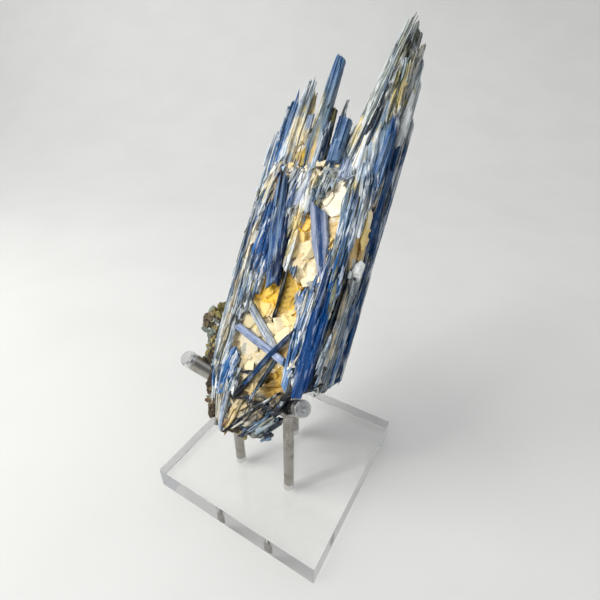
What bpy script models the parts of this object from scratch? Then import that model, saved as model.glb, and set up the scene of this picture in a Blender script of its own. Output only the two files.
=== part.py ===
"""Kyanite blade cluster leaning in a three-armed stand on a clear plate.

World frame: metres, +Z up, origin at the centre of the plate's underside, -Y is the front.
The sizes in the tables below are millimetres, and MM turns them into metres.

The stone is laid out in its own frame: across (left to right), along (foot to spires) and
out (towards the front). Its front face is the plane out = 0, and the stone leans back.
"""

import math
import random

import bmesh
import bpy
import numpy as np
from mathutils import Matrix, Vector

MM = 0.001
GAP = 0.3                       # air between pieces that touch

# Plate and posts
PLATE_SIDE = 110.0
PLATE_THICKNESS = 15.0
HOLE_DEPTH = 9.5
POST_RADIUS = 3.0
POST_FOOT_ABOVE_HOLE = 0.6      # the post ends just above the floor of its hole
ROUND_STEPS = 16
DOME_STEPS = 3

# Arms: each leaves the top of its post and leans up and outwards, azimuth from +X
ARM_RADIUS = 4.5
ARM_TAIL = 3.5                  # length of arm behind the post's axis
CAP_RADIUS = 4.5
CAP_SLEEVE = 3.0                # straight part of the clear cap
CAP_DOME = 4.0                  # height of its dome
ARMS = {
    "front_left": {"post": (-18.3, -20.2), "joint": 76.0, "azimuth": 204.6, "rise": 36.2, "reach": 29.0},
    "front_right": {"post": (18.3, -20.2), "joint": 77.5, "azimuth": 345.0, "rise": 38.0, "reach": 13.5},
    "rear": {"post": (0.0, 16.5), "joint": 100.0, "azimuth": 90.0, "rise": 54.0, "reach": 44.0},
}

# The stone's frame
STONE_ORIGIN = (0.0, -36.7, 73.3)
STONE_LEAN = 32.0               # degrees back from upright

# The solid mass under the blades, in sections along the stone:
# (along, left edge, right edge, front face, depth at left, middle and right, right edge at the back)
SECTIONS = (
    (-9.0, -15.0, -4.0, -1.5, 4.5, 5.5, 4.5, -4.0),
    (0.0, -20.5, 9.5, -1.2, 7.0, 13.0, 9.0, 10.0),
    (10.0, -25.5, 15.0, -1.0, 6.0, 17.0, 7.0, 15.0),
    (20.0, -29.0, 20.0, -1.0, 8.0, 20.0, 9.0, 21.0),
    (28.0, -30.5, 30.5, -1.2, 15.0, 22.0, 22.0, 32.5),
    (45.0, -31.0, 31.0, -1.5, 21.0, 23.5, 28.0, 34.0),
    (70.0, -31.0, 31.0, -1.5, 24.0, 26.5, 28.0, 33.0),
    (98.0, -30.5, 30.6, -1.5, 24.0, 28.5, 27.0, 32.4),
    (124.0, -29.0, 31.0, -1.5, 21.0, 26.0, 25.5, 32.6),
    (136.0, -25.0, 31.5, -2.5, 18.0, 23.0, 24.0, 32.4),
    (145.0, -15.0, 30.5, -7.0, 13.0, 17.0, 20.0, 31.0),
)

# Where the blades of the front end, from left to right: (across, foot, top)
REACH = (
    (-31.0, 26.0, 146.0), (-26.0, 8.0, 158.0), (-20.0, -1.0, 166.0), (-16.0, -8.0, 172.0),
    (-10.0, -10.0, 160.0), (-4.0, -9.0, 152.0), (3.0, -8.0, 154.0), (9.0, -6.0, 153.0),
    (13.0, -2.0, 157.0), (17.0, 8.0, 163.0), (20.0, 22.0, 172.0), (24.0, 23.0, 184.0),
    (28.0, 26.0, 198.0), (32.0, 27.0, 200.0), (36.0, 28.0, 188.0),
)

# Blades that show one by one: foot and tip as (across, along, out) of the blade's middle,
# width, thickness, turn about its own length, how far each end slopes, and its taper to the tip
HERO_BLADES = {
    "tall_blade": ((-6.6, 126, -8.4), (-6.3, 194.2, -8.0), 7.0, 5.0, 12, 0.8, 1.0),
    "spire_edge": ((14.6, 144, -4.5), (26.2, 213.6, -7.0), 5.4, 3.6, -12, 4.0, 0.18),
    "spire_a": ((19.6, 136, -5.0), (25.2, 206.0, -8.5), 5.6, 4.5, 10, 4.0, 0.6),
    "spire_b": ((24.4, 128, -8.0), (27.0, 213.0, -11.0), 5.5, 4.5, -8, 3.0, 0.4),
    "spire_c": ((28.0, 122, -12.0), (28.6, 211.5, -15.0), 5.4, 5.0, 14, 3.0, 0.6),
    "spire_d": ((30.8, 116, -16.0), (30.4, 205.0, -18.0), 4.8, 5.0, -10, 5.0, 0.7),
    "spire_e": ((32.4, 112, -20.0), (31.6, 202.0, -21.0), 4.2, 5.0, 6, 4.0, 0.7),
    "spire_f": ((33.0, 96, -23.5), (32.6, 193.0, -24.0), 3.6, 4.6, 0, 4.0, 0.7),
    "left_a": ((-19.6, 112, -5.5), (-16.9, 182.2, -6.5), 4.0, 3.4, 12, 2.0, 0.35),
    "left_b": ((-21.4, 110, -4.0), (-19.6, 177.0, -5.0), 4.4, 3.6, -8, 4.0, 0.7),
    "left_c": ((-24.0, 108, -4.4), (-23.0, 171.5, -5.4), 4.2, 3.8, 14, 4.0, 0.8),
    "left_d": ((-26.6, 104, -4.0), (-26.0, 166.0, -5.0), 4.2, 4.2, -10, 2.0, 0.9),
    "left_e": ((-28.8, 92, -3.6), (-28.2, 149.5, -4.6), 4.2, 4.2, 6, 4.0, 0.8),
    "gold_spike": ((-15.6, 126, -9.0), (-16.0, 175.5, -9.0), 3.6, 3.0, 10, 2.0, 0.3),
    "pale_recess_blade": ((-14.0, 126, -7.6), (-14.0, 163.6, -7.6), 4.2, 3.0, -6, 1.5, 0.9),
    "gold_recess_blade": ((-9.8, 126, -7.6), (-11.0, 165.5, -8.2), 3.4, 3.0, 12, 1.5, 0.8),
    "dark_recess_blade": ((-1.6, 126, -7.6), (-2.0, 160.5, -7.6), 3.4, 3.0, -14, 1.5, 0.8),
    "olive_nub": ((-3.2, 136, -11.4), (-3.2, 169.5, -11.4), 4.4, 3.8, 16, 1.0, 0.7),
    "navy_block": ((8.8, 138.2, -1.8), (8.9, 161.0, -2.8), 6.8, 6.0, 10, 1.2, 1.0),
    "needle": ((3.6, 140, -7.0), (5.4, 172.5, -7.0), 1.8, 1.6, 0, 0.5, 0.3),
    "deep_blue_left": ((-4.6, 71.5, -0.8), (-15.4, 131.0, -1.6), 7.4, 4.4, 6, 5.0, 0.8),
    "deep_blue_left_low": ((-3.6, 74.0, -2.2), (-8.4, 110.0, -2.4), 5.4, 4.4, -10, 4.0, 0.9),
    "lavender_blade": ((20.0, 84.0, -2.4), (7.2, 116.5, -2.0), 6.0, 3.2, 8, 3.0, 0.5),
    "great_blade": ((24.6, 22.8, -2.0), (25.4, 84.0, -3.0), 9.8, 6.0, 4, 1.2, 0.9),
    "pale_edge_blade": ((18.0, 24.0, -1.8), (14.2, 72.0, -2.2), 4.4, 3.4, -10, 3.0, 0.8),
    "crossing_blade": ((14.0, 37.0, -0.9), (-18.6, 46.2, -0.7), 4.6, 2.8, 6, 1.5, 0.9),
    "grey_crossing_blade": ((7.0, 41.0, -2.4), (-15.0, 58.5, -2.2), 5.0, 2.6, -6, 3.0, 0.8),
    "thin_dark_blade": ((-8.4, 9.5, -0.8), (15.0, 54.8, -0.2), 2.6, 3.4, 10, 1.0, 0.8),
    "thin_dark_blade_foot": ((-7.6, 10.0, -0.9), (2.6, 33.0, -0.6), 4.2, 3.0, 0, 2.0, 0.8),
    "second_thin_blade": ((1.2, 12.0, -0.9), (9.0, 37.0, -1.1), 2.2, 2.8, -8, 1.0, 0.8),
    "blue_foot_blade": ((-17.4, 8.0, -0.9), (-14.8, 33.5, -0.9), 8.6, 4.0, 4, 3.0, 0.7),
    "grey_foot_blade": ((-13.2, -10.6, -1.6), (-14.4, 13.0, -1.2), 6.4, 4.4, -6, 2.0, 0.8),
    "pale_foot_blade": ((-17.6, -8.6, -2.0), (-21.6, 22.0, -1.6), 5.6, 4.4, 10, 3.0, 0.8),
    "tan_foot_blade": ((-7.4, -10.0, -2.0), (-1.5, 12.0, -1.8), 5.6, 4.0, -4, 2.0, 0.7),
    "yellow_pit_blade": ((0.6, 54.0, -4.0), (-0.4, 86.0, -3.4), 3.0, 4.0, 8, 2.0, 0.7),
    "left_edge_low": ((-27.4, 22.0, -3.0), (-27.8, 76.0, -3.2), 5.0, 5.0, -18, 4.0, 0.9),
    "left_edge_mid": ((-28.2, 62.0, -3.4), (-28.0, 118.0, -3.6), 5.0, 5.0, 16, 4.0, 0.9),
    "flank_blue": ((33.6, 98.0, -25.0), (32.4, 166.0, -6.0), 4.0, 6.0, 0, 6.0, 0.8),
    "flank_edge": ((34.2, 90.0, -26.5), (34.2, 174.0, -25.5), 3.0, 4.0, 0, 5.0, 0.9),
    "flank_low": ((35.4, 31.0, -26.5), (34.6, 92.0, -27.0), 3.6, 5.0, 0, 4.0, 0.9),
    "flank_low_front": ((32.6, 26.5, -12.0), (32.6, 80.0, -13.0), 4.0, 6.0, 0, 4.0, 0.9),
    "flank_low_middle": ((33.8, 28.0, -19.0), (33.6, 74.0, -19.0), 4.0, 6.0, 0, 5.0, 0.9),
}

# Pockets and steps, cut into the front: outline as (across, along), depth, and how the floor narrows
POCKETS = {
    "cream_pocket": (((0.5, 112), (4.5, 111), (8.5, 121), (13.5, 125), (17, 130.5), (19.5, 128),
                      (21, 115), (24, 103), (21.5, 88), (12, 85), (1, 87), (0, 100)), 5.0, 0.8),
    "yellow_pocket": (((-13.5, 62), (-13, 71), (-11, 78), (-5, 75), (0, 84), (2.5, 82), (7.5, 79),
                       (11, 68), (14.5, 58), (9, 54), (0, 52.5), (-9, 57)), 5.5, 0.75),
    "ochre_pocket": (((4, 20), (5, 26), (9, 33), (14, 29.5), (15, 24), (10, 19)), 4.5, 0.7),
    "lower_window": (((-19, 34), (-20, 46), (-14, 61), (0, 54), (9, 55), (14.5, 57), (16.5, 44),
                      (19, 30), (17, 24), (4, 19), (-2, 10), (-9, 12), (-10, 30)), 2.6, 0.9),
    "upper_step": (((-20.5, 136), (-16, 132.5), (5.0, 133.5), (5.4, 175), (-20.5, 175)), 6.0, 0.96),
    "side_groove": (((30.2, 57), (30.8, 104), (32.0, 106), (32.3, 58)), 7.0, 0.8),
    "foot_line": (((-9.8, -9.5), (2.0, 5.0), (16.5, 23.5), (17.8, 22.2), (3.4, 3.6), (-8.6, -10.6)), 3.0, 0.8),
}

# Rounded lumps of quartz, feldspar and mica: middle (across, along, out) and half sizes
LUMPS = {
    "quartz_a": ((6.0, 93.0, -3.0), (6.5, 7.0, 4.0)),
    "quartz_b": ((4.5, 86.5, -2.4), (5.5, 3.8, 3.6)),
    "quartz_c": ((15.5, 78.5, -2.0), (6.0, 6.5, 4.0)),
    "quartz_d": ((10.5, 84.0, -2.2), (5.0, 5.0, 3.6)),
    "cream_a": ((15.5, 119.0, -4.8), (5.5, 8.5, 3.4)),
    "cream_b": ((18.5, 104.5, -4.8), (4.5, 7.0, 3.4)),
    "cream_c": ((8.5, 33.5, -3.4), (7.5, 5.5, 4.0)),
    "cream_d": ((-9.0, 36.5, -3.4), (8.0, 5.5, 4.0)),
    "cream_e": ((8.5, 56.5, -4.0), (5.5, 3.6, 4.0)),
    "grey_crust_a": ((4.5, 128.0, -3.4), (6.5, 5.5, 4.2)),
    "grey_crust_b": ((9.5, 133.0, -3.6), (7.0, 4.5, 4.2)),
    "side_feldspar": ((32.2, 109.0, -11.0), (2.6, 14.0, 7.0)),
    "rind_a": ((-36.8, 43.0, -5.0), (6.2, 7.6, 6.0)),
    "rind_b": ((-33.0, 50.0, -6.0), (4.4, 6.6, 5.6)),
    "rind_c": ((-33.0, 36.0, -5.0), (5.2, 7.6, 5.4)),
    "rind_d": ((-30.0, 27.0, -4.0), (3.8, 8.0, 5.0)),
    "rind_e": ((-26.6, 13.0, -1.8), (2.8, 10.0, 3.0)),
    "rind_f": ((-22.2, 1.0, -3.0), (3.4, 9.0, 4.0)),
    "foot_a": ((12.5, 6.0, -4.0), (5.0, 8.0, 5.0)),
    "foot_b": ((6.5, -3.0, -4.4), (6.0, 5.5, 5.0)),
    "foot_c": ((16.4, 15.0, -3.4), (3.6, 7.5, 4.6)),
    "foot_d": ((-1.5, -6.4, -4.2), (5.0, 3.8, 4.4)),
    "side_foot": ((33.4, 29.5, -16.0), (3.2, 4.2, 8.0)),
}

# Slabs of schist in the foot, which run from lower left to upper right
FOOT_SLABS = 5
SLAB_WIDTH = 3.4
SLAB_LENGTH = 24.0
RECESS_BLADES = 7

# Blades spread over the faces: columns, blades' length, width, thickness, and the seed
SPREAD = {
    "front": {"columns": 11, "length": (38.0, 66.0), "width": (5.0, 7.6), "thickness": 4.4},
    "side": {"columns": 4, "length": (36.0, 60.0), "width": (4.0, 6.0), "thickness": 4.0},
    "back": {"columns": 7, "length": (64.0, 100.0), "width": (8.5, 12.0), "thickness": 5.0},
    "left": {"columns": 3, "length": (54.0, 80.0), "width": (6.5, 8.5), "thickness": 4.5},
}
SPREAD_SEED = 13


def stone_matrix():
    """The stone's frame: its z axis leans out of the front face, its y axis runs up the blades."""
    lean = Matrix.Rotation(math.radians(90.0 - STONE_LEAN), 4, "X")
    return Matrix.Translation(Vector(STONE_ORIGIN) * MM) @ lean


def material(name, color, roughness, metallic=0.0, transmission=0.0, ior=1.5):
    made = bpy.data.materials.new(name)
    made.use_nodes = True
    shader = made.node_tree.nodes["Principled BSDF"]
    shader.inputs["Base Color"].default_value = (*color, 1.0)
    shader.inputs["Roughness"].default_value = roughness
    shader.inputs["Metallic"].default_value = metallic
    shader.inputs["Transmission Weight"].default_value = transmission
    shader.inputs["IOR"].default_value = ior
    return made


def add_object(name, bm, finish=None, matrix=Matrix()):
    """Turns a bmesh in millimetres into an object, with its normals pointing out."""
    bmesh.ops.recalc_face_normals(bm, faces=bm.faces)
    bmesh.ops.scale(bm, vec=(MM, MM, MM), verts=bm.verts)
    mesh = bpy.data.meshes.new(name)
    bm.to_mesh(mesh)
    bm.free()
    if finish:
        mesh.materials.append(finish)
    obj = bpy.data.objects.new(name, mesh)
    obj.matrix_world = matrix
    bpy.context.scene.collection.objects.link(obj)
    return obj


def skin_rings(bm, rings):
    """Joins closed rings of equal length into one skin and caps both ends."""
    loops = [[bm.verts.new(point) for point in ring] for ring in rings]
    count = len(loops[0])
    for low, high in zip(loops, loops[1:]):
        for i in range(count):
            j = (i + 1) % count
            bm.faces.new((low[i], low[j], high[j], high[i]))
    bm.faces.new(loops[0])
    bm.faces.new(loops[-1])


# ---- the stand ----


def rod(start, axis, stations):
    """A turned rod: stations are (distance along the axis, radius), a radius of 0 closes to a point."""
    bm = bmesh.new()
    turn = Vector(axis).to_track_quat("Z", "Y")
    rings = []
    for distance, radius in stations:
        ring = []
        for i in range(ROUND_STEPS):
            angle = math.tau * i / ROUND_STEPS
            local = Vector((radius * math.cos(angle), radius * math.sin(angle), distance))
            ring.append(Vector(start) + turn @ local)
        rings.append(ring)
    skin_rings(bm, rings)
    return bm


def arm_axis(arm):
    azimuth, rise = math.radians(arm["azimuth"]), math.radians(arm["rise"])
    flat = math.cos(rise)
    return Vector((flat * math.cos(azimuth), flat * math.sin(azimuth), math.sin(rise)))


def arm_start(arm):
    return Vector((*arm["post"], arm["joint"]))


def arm_rod(arm, swell=0.0):
    """The arm as a rod, or a fatter copy of it for cutting what it touches."""
    end = arm["reach"] - CAP_SLEEVE
    radius = ARM_RADIUS + swell
    return rod(arm_start(arm), arm_axis(arm), ((-ARM_TAIL - swell, radius), (end + swell, radius)))


def cap_rod(arm, swell=0.0):
    """The clear cap: a short sleeve with a flat dome, past the end of the arm."""
    radius = CAP_RADIUS + swell
    start = arm["reach"] - CAP_SLEEVE + GAP - swell
    stations = [(start, radius)]
    for step in range(DOME_STEPS + 1):
        angle = math.radians(72.0 * step / DOME_STEPS)
        stations.append((arm["reach"] + (CAP_DOME + swell) * math.sin(angle), radius * math.cos(angle)))
    return rod(arm_start(arm), arm_axis(arm), stations)


def post_rod(arm, swell=0.0):
    x, y = arm["post"]
    foot = PLATE_THICKNESS - HOLE_DEPTH + POST_FOOT_ABOVE_HOLE
    radius = POST_RADIUS + swell
    return rod((x, y, 0.0), (0, 0, 1), ((foot, radius), (arm["joint"], radius)))


def cutter(name, bm, matrix=Matrix()):
    obj = add_object(name, bm, matrix=matrix)
    obj.hide_render = True
    obj.display_type = "WIRE"
    return obj


def cut(obj, tool):
    modifier = obj.modifiers.new("cut " + tool.name, "BOOLEAN")
    modifier.operation = "DIFFERENCE"
    modifier.object = tool


def shade_round(obj):
    obj.data.shade_smooth()
    obj.data.set_sharp_from_angle(angle=math.radians(40.0))


def make_plate():
    bm = bmesh.new()
    bmesh.ops.create_cube(bm, size=1.0)
    bmesh.ops.scale(bm, vec=(PLATE_SIDE, PLATE_SIDE, PLATE_THICKNESS), verts=bm.verts)
    bmesh.ops.translate(bm, vec=(0, 0, PLATE_THICKNESS / 2), verts=bm.verts)
    plate = add_object("base_plate", bm, material("acrylic", (0.94, 0.97, 0.97), 0.03, 0.0, 1.0, 1.49))
    floor = PLATE_THICKNESS - HOLE_DEPTH
    radius = POST_RADIUS + GAP
    for name, arm in ARMS.items():
        x, y = arm["post"]
        hole = rod((x, y, 0), (0, 0, 1), ((floor, radius), (PLATE_THICKNESS + 5.0, radius)))
        cut(plate, cutter("hole_" + name, hole))


def make_stand():
    make_plate()
    steel = material("steel", (0.62, 0.61, 0.59), 0.3, 1.0)
    clear = material("clear_cap", (0.95, 0.96, 0.96), 0.05, 0.0, 1.0, 1.49)
    for name, arm in ARMS.items():
        shade_round(add_object("arm_" + name, arm_rod(arm), steel))
        shade_round(add_object("cap_" + name, cap_rod(arm), clear))
        post = add_object("post_" + name, post_rod(arm), steel)
        cut(post, cutter("saddle_" + name, arm_rod(arm, GAP)))
        shade_round(post)


# ---- the stone ----


def blade(foot, tip, width, thickness, turn=0.0, slope=2.0, taper=0.9):
    """One flat crystal: a six-sided bar from foot to tip, with sloping ends."""
    foot, tip = Vector(foot), Vector(tip)
    axis = (tip - foot).normalized()
    side = Vector((0, 0, 1)).cross(axis).normalized()
    side = Matrix.Rotation(math.radians(turn), 3, axis) @ side
    face = axis.cross(side)
    edge = min(0.3 * width, 0.5 * thickness)
    outline = ((-width / 2, -0.1 * thickness), (-width / 2 + edge, -thickness / 2),
               (width / 2 - edge, -thickness / 2), (width / 2, 0.1 * thickness),
               (width / 2 - edge, thickness / 2), (-width / 2 + edge, thickness / 2))
    rings = []
    for place, scale, sign in ((foot, 0.92, -1.0), (foot.lerp(tip, 0.55), 1.0, 0.0), (tip, taper, 1.0)):
        ring = []
        for x, y in outline:
            shift = sign * slope * (x / width) * (1.0 if turn >= 0 else -1.0)
            ring.append(place + side * x * scale + face * y * scale + axis * shift)
        rings.append(ring)
    bm = bmesh.new()
    skin_rings(bm, rings)
    return bm


def lump(middle, half, seed):
    """A rough lump with flat faces: a ball of 80 triangles with each corner pushed in or out."""
    dice = random.Random(seed)
    bm = bmesh.new()
    bmesh.ops.create_icosphere(bm, subdivisions=1, radius=1.0)
    for vert in bm.verts:
        vert.co *= dice.uniform(0.8, 1.12)
        vert.co = Vector(middle) + Vector(c * h for c, h in zip(vert.co, half))
    return bm


def pocket(outline, depth, narrowing):
    """A cutter with the given outline, whose floor is smaller than its mouth and slopes a little."""
    middle = Vector((sum(p[0] for p in outline), sum(p[1] for p in outline))) / len(outline)
    bm = bmesh.new()
    mouth, floor = [], []
    for point in outline:
        spoke = Vector(point) - middle
        low = middle + spoke * narrowing
        wide = middle + spoke * 1.08
        mouth.append((wide.x, wide.y, 8.0))
        floor.append((low.x, low.y, -depth))
    skin_rings(bm, (mouth, floor))
    return bm


def section_at(along):
    """The mass's cross-section at a place along the stone, as eight (across, out) corners."""
    places = [row[0] for row in SECTIONS]
    values = [np.interp(along, places, [row[i] for row in SECTIONS]) for i in range(1, 8)]
    left, right, front, deep_left, deep_middle, deep_right, right_back = values
    width = right - left
    return ((left, front - 3.0), (left + 0.07 * width, front), (right - 0.05 * width, front),
            (right, front - 2.0), (right_back, -deep_right), (left + 0.66 * width, -deep_middle),
            (left + 0.28 * width, -deep_middle + 0.6), (left + 0.06 * width, -deep_left))


SIDES = {"front": (1, 2), "side": (3, 4), "back": (4, 7), "left": (7, 0)}


def skin_point(side, share, along, out):
    """A point on one side of the mass: share runs across the side, and out lifts it off the skin."""
    corners = section_at(along)
    first, last = SIDES[side]
    last += len(corners) if last < first else 0
    spot = first + share * (last - first)
    index = min(int(spot), last - 1)
    a, b = (Vector(corners[i % len(corners)]) for i in (index, index + 1))
    point = a.lerp(b, spot - index)
    edge = (b - a).normalized()
    normal = Vector((-edge.y, edge.x))
    point += normal * out
    return Vector((point.x, along, point.y)), normal


def reach_at(across):
    places = [row[0] for row in REACH]
    return (float(np.interp(across, places, [row[1] for row in REACH])),
            float(np.interp(across, places, [row[2] for row in REACH])))


def spread_blades(side, plan, dice):
    """Columns of overlapping blades that cover one side of the mass."""
    blades = []
    for column in range(plan["columns"]):
        share = (column + dice.uniform(0.3, 0.7)) / plan["columns"]
        across = skin_point(side, share, 80.0, 0.0)[0].x
        foot, top = reach_at(across)
        if side != "front":
            foot, top = foot + 12.0, top - 6.0
        along = foot + dice.uniform(0.0, 5.0)
        while along < top - 12.0:
            end = min(along + dice.uniform(*plan["length"]), top - dice.uniform(0.0, 4.0))
            lift = dice.uniform(-1.1, 0.7)
            low = skin_point(side, share, along, lift)[0]
            high, normal = skin_point(side, share, end, lift + dice.uniform(-0.4, 0.4))
            bulge = skin_point(side, share, (along + end) / 2, lift)[0] - (low + high) / 2
            low += bulge * 0.6
            high += bulge * 0.6
            high.x += dice.uniform(-1.0, 1.0)
            turn = math.degrees(math.atan2(normal.x, normal.y)) + dice.uniform(-16.0, 16.0)
            blades.append(blade(low, high, dice.uniform(*plan["width"]), plan["thickness"], turn,
                                dice.uniform(2.0, 7.0), dice.uniform(0.7, 0.95)))
            along = end - dice.uniform(4.0, 12.0)
            if end > top - 6.0:
                break
    return blades


def foot_slabs():
    """Thin sheets of schist, side by side across the lower right of the foot."""
    slabs = []
    for i in range(FOOT_SLABS):
        middle = Vector((3.0 + 2.6 * i, 1.0 + 0.6 * i, -2.6 - 0.5 * (i % 2)))
        half = Vector((0.62, 0.78, 0.0)) * (SLAB_LENGTH / 2 - 1.2 * i)
        slabs.append(blade(middle - half, middle + half, SLAB_WIDTH, 4.0, 10.0 - 6.0 * i, 3.0, 0.8))
    return slabs


def recess_blades(dice):
    """Shorter blades that stand at the back of the step below the left spires."""
    blades = []
    for i in range(RECESS_BLADES):
        across = -19.0 + 23.0 * i / (RECESS_BLADES - 1) + dice.uniform(-0.8, 0.8)
        out = -6.2 - dice.uniform(0.0, 2.0)
        top = dice.uniform(147.0, 163.0)
        blades.append(blade((across, 124.0, out), (across + dice.uniform(-0.8, 0.8), top, out), 3.8, 3.4,
                            dice.uniform(-20.0, 20.0), dice.uniform(1.0, 4.0), 0.8))
    return blades


def mass():
    bm = bmesh.new()
    rings = []
    for row in SECTIONS:
        rings.append([(x, row[0], out) for x, out in section_at(row[0])])
    skin_rings(bm, rings)
    return bm


def apply_boolean(obj, operation, shapes):
    """Joins the shapes to the object, or cuts them from it, and keeps only the result."""
    tools = bpy.data.collections.new("tools")
    bpy.context.scene.collection.children.link(tools)
    for i, bm in enumerate(shapes):
        tool = add_object("tool_%03d" % i, bm, matrix=obj.matrix_world)
        bpy.context.scene.collection.objects.unlink(tool)
        tools.objects.link(tool)
    modifier = obj.modifiers.new(operation.lower(), "BOOLEAN")
    modifier.operation = operation
    modifier.operand_type = "COLLECTION"
    modifier.collection = tools
    modifier.solver = "EXACT"
    graph = bpy.context.evaluated_depsgraph_get()
    result = bpy.data.meshes.new_from_object(obj.evaluated_get(graph))
    obj.modifiers.clear()
    old = obj.data
    obj.data = result
    bpy.data.meshes.remove(old)
    for tool in list(tools.objects):
        bpy.data.objects.remove(tool)
    bpy.data.collections.remove(tools)


def keep_largest_body(obj):
    """Drops chips that a cut has set loose."""
    bm = bmesh.new()
    bm.from_mesh(obj.data)
    bm.faces.ensure_lookup_table()
    seen = set()
    bodies = []
    for face in bm.faces:
        if face in seen:
            continue
        body, edge = {face}, [face]
        while edge:
            for loop in edge.pop().edges:
                for near in loop.link_faces:
                    if near not in body:
                        body.add(near)
                        edge.append(near)
        seen |= body
        bodies.append(body)
    bodies.sort(key=len)
    for body in bodies[:-1]:
        bmesh.ops.delete(bm, geom=list(body), context="FACES")
    bm.to_mesh(obj.data)
    bm.free()
    print("bodies in the stone:", [len(body) for body in bodies])


def make_stone():
    dice = random.Random(SPREAD_SEED)
    kyanite = material("kyanite", (0.16, 0.27, 0.5), 0.35)
    stone = add_object("kyanite_cluster", mass(), kyanite, stone_matrix())
    grown = []
    for side, plan in SPREAD.items():
        grown += spread_blades(side, plan, dice)
    apply_boolean(stone, "UNION", grown)
    apply_boolean(stone, "DIFFERENCE", [pocket(*shape) for shape in POCKETS.values()])
    added = [blade(*shape) for shape in HERO_BLADES.values()]
    added += [lump(*shape, seed) for seed, shape in enumerate(LUMPS.values())]
    added += foot_slabs() + recess_blades(dice)
    apply_boolean(stone, "UNION", added)
    keep_largest_body(stone)
    clear_stand(stone)
    keep_largest_body(stone)
    print("triangles in the stone:", sum(len(p.vertices) - 2 for p in stone.data.polygons))


def clear_stand(stone):
    """Leaves a thin gap between the stone and each post, arm and cap it rests on."""
    to_stone = stone.matrix_world.inverted()
    shapes = []
    for arm in ARMS.values():
        for bm in (arm_rod(arm, GAP), cap_rod(arm, GAP), post_rod(arm, GAP)):
            for vert in bm.verts:
                vert.co = (to_stone @ (vert.co * MM)) / MM
            shapes.append(bm)
    apply_boolean(stone, "DIFFERENCE", shapes)


def main():
    for obj in list(bpy.data.objects):
        bpy.data.objects.remove(obj)
    make_stand()
    make_stone()


main()
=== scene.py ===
import math

import bmesh
import bpy
import numpy as np
from mathutils import Matrix, Vector


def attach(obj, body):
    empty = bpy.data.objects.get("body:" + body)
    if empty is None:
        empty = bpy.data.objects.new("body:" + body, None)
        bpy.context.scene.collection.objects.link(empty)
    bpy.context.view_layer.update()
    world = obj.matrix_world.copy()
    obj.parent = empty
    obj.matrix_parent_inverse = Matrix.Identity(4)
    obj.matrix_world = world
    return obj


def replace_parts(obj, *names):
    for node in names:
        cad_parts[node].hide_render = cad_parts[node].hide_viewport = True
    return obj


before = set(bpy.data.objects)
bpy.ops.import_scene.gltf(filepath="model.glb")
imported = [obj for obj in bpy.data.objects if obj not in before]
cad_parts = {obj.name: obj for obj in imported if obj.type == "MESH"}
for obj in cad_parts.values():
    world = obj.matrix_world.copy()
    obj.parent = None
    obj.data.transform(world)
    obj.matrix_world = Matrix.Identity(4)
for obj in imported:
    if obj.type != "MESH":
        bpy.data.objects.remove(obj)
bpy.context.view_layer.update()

# Kyanite blade cluster resting in a three-armed stand on a clear plate.
# Sizes are millimetres in the dictionaries, and mm turns them into metres.
# The stone has a frame of its own: across (left to right), along (foot to spires), out (to the front).

mm = 0.001
body = "root"
stoneFrame = {"origin": (0.0, -36.7, 73.3), "lean": 32.0}   # lean is in degrees back from upright


def linear(color):
    # display color 0..255 to linear light: ((c + 0.055) / 1.055) ** 2.4, straight near black
    c = np.asarray(color, float) / 255.0
    return np.where(c <= 0.04045, c / 12.92, ((c + 0.055) / 1.055) ** 2.4)


palette = {
    "white": (228, 232, 232), "paleGrey": (178, 184, 184), "paleBlue": (124, 152, 182),
    "iceBlue": (166, 188, 212), "lavender": (104, 130, 172), "paleLavender": (168, 178, 204),
    "greyBlue": (86, 114, 142), "steelBlue": (46, 86, 126), "midBlue": (26, 98, 164),
    "deepBlue": (4, 66, 126), "royalBlue": (0, 52, 104), "navy": (8, 22, 48), "black": (22, 23, 25),
    "darkGrey": (54, 58, 60), "greyGreen": (120, 130, 122), "olive": (128, 118, 60),
    "oliveDark": (62, 58, 34), "gold": (206, 170, 70), "yellow": (252, 204, 66),
    "paleYellow": (248, 222, 142), "cream": (248, 232, 192), "ivory": (254, 247, 226),
    "tan": (232, 202, 140), "orangeTan": (186, 146, 96), "beige": (206, 196, 170), "ochre": (172, 134, 46),
    "rust": (92, 62, 40), "brown": (76, 62, 44),
}


def tint(name):
    return linear(palette[name])


def toWorld(points):
    # turns (across, along, out) into world metres: along leans back by lean, out is square to it
    lean = math.radians(stoneFrame["lean"])
    x0, y0, z0 = stoneFrame["origin"]
    across, along, out = points[..., 0], points[..., 1], points[..., 2]
    y = y0 + along * math.sin(lean) - out * math.cos(lean)
    z = z0 + along * math.cos(lean) + out * math.sin(lean)
    return np.stack((x0 + across, y, z), -1) * mm


def unit(vectors):
    return vectors / np.maximum(np.linalg.norm(vectors, axis=-1, keepdims=True), 1e-9)


def smoothStep(low, high, value):
    # 0 below low, 1 above high, 3t^2 - 2t^3 between
    t = np.clip((value - low) / (high - low), 0.0, 1.0)
    return t * t * (3.0 - 2.0 * t)


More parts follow.
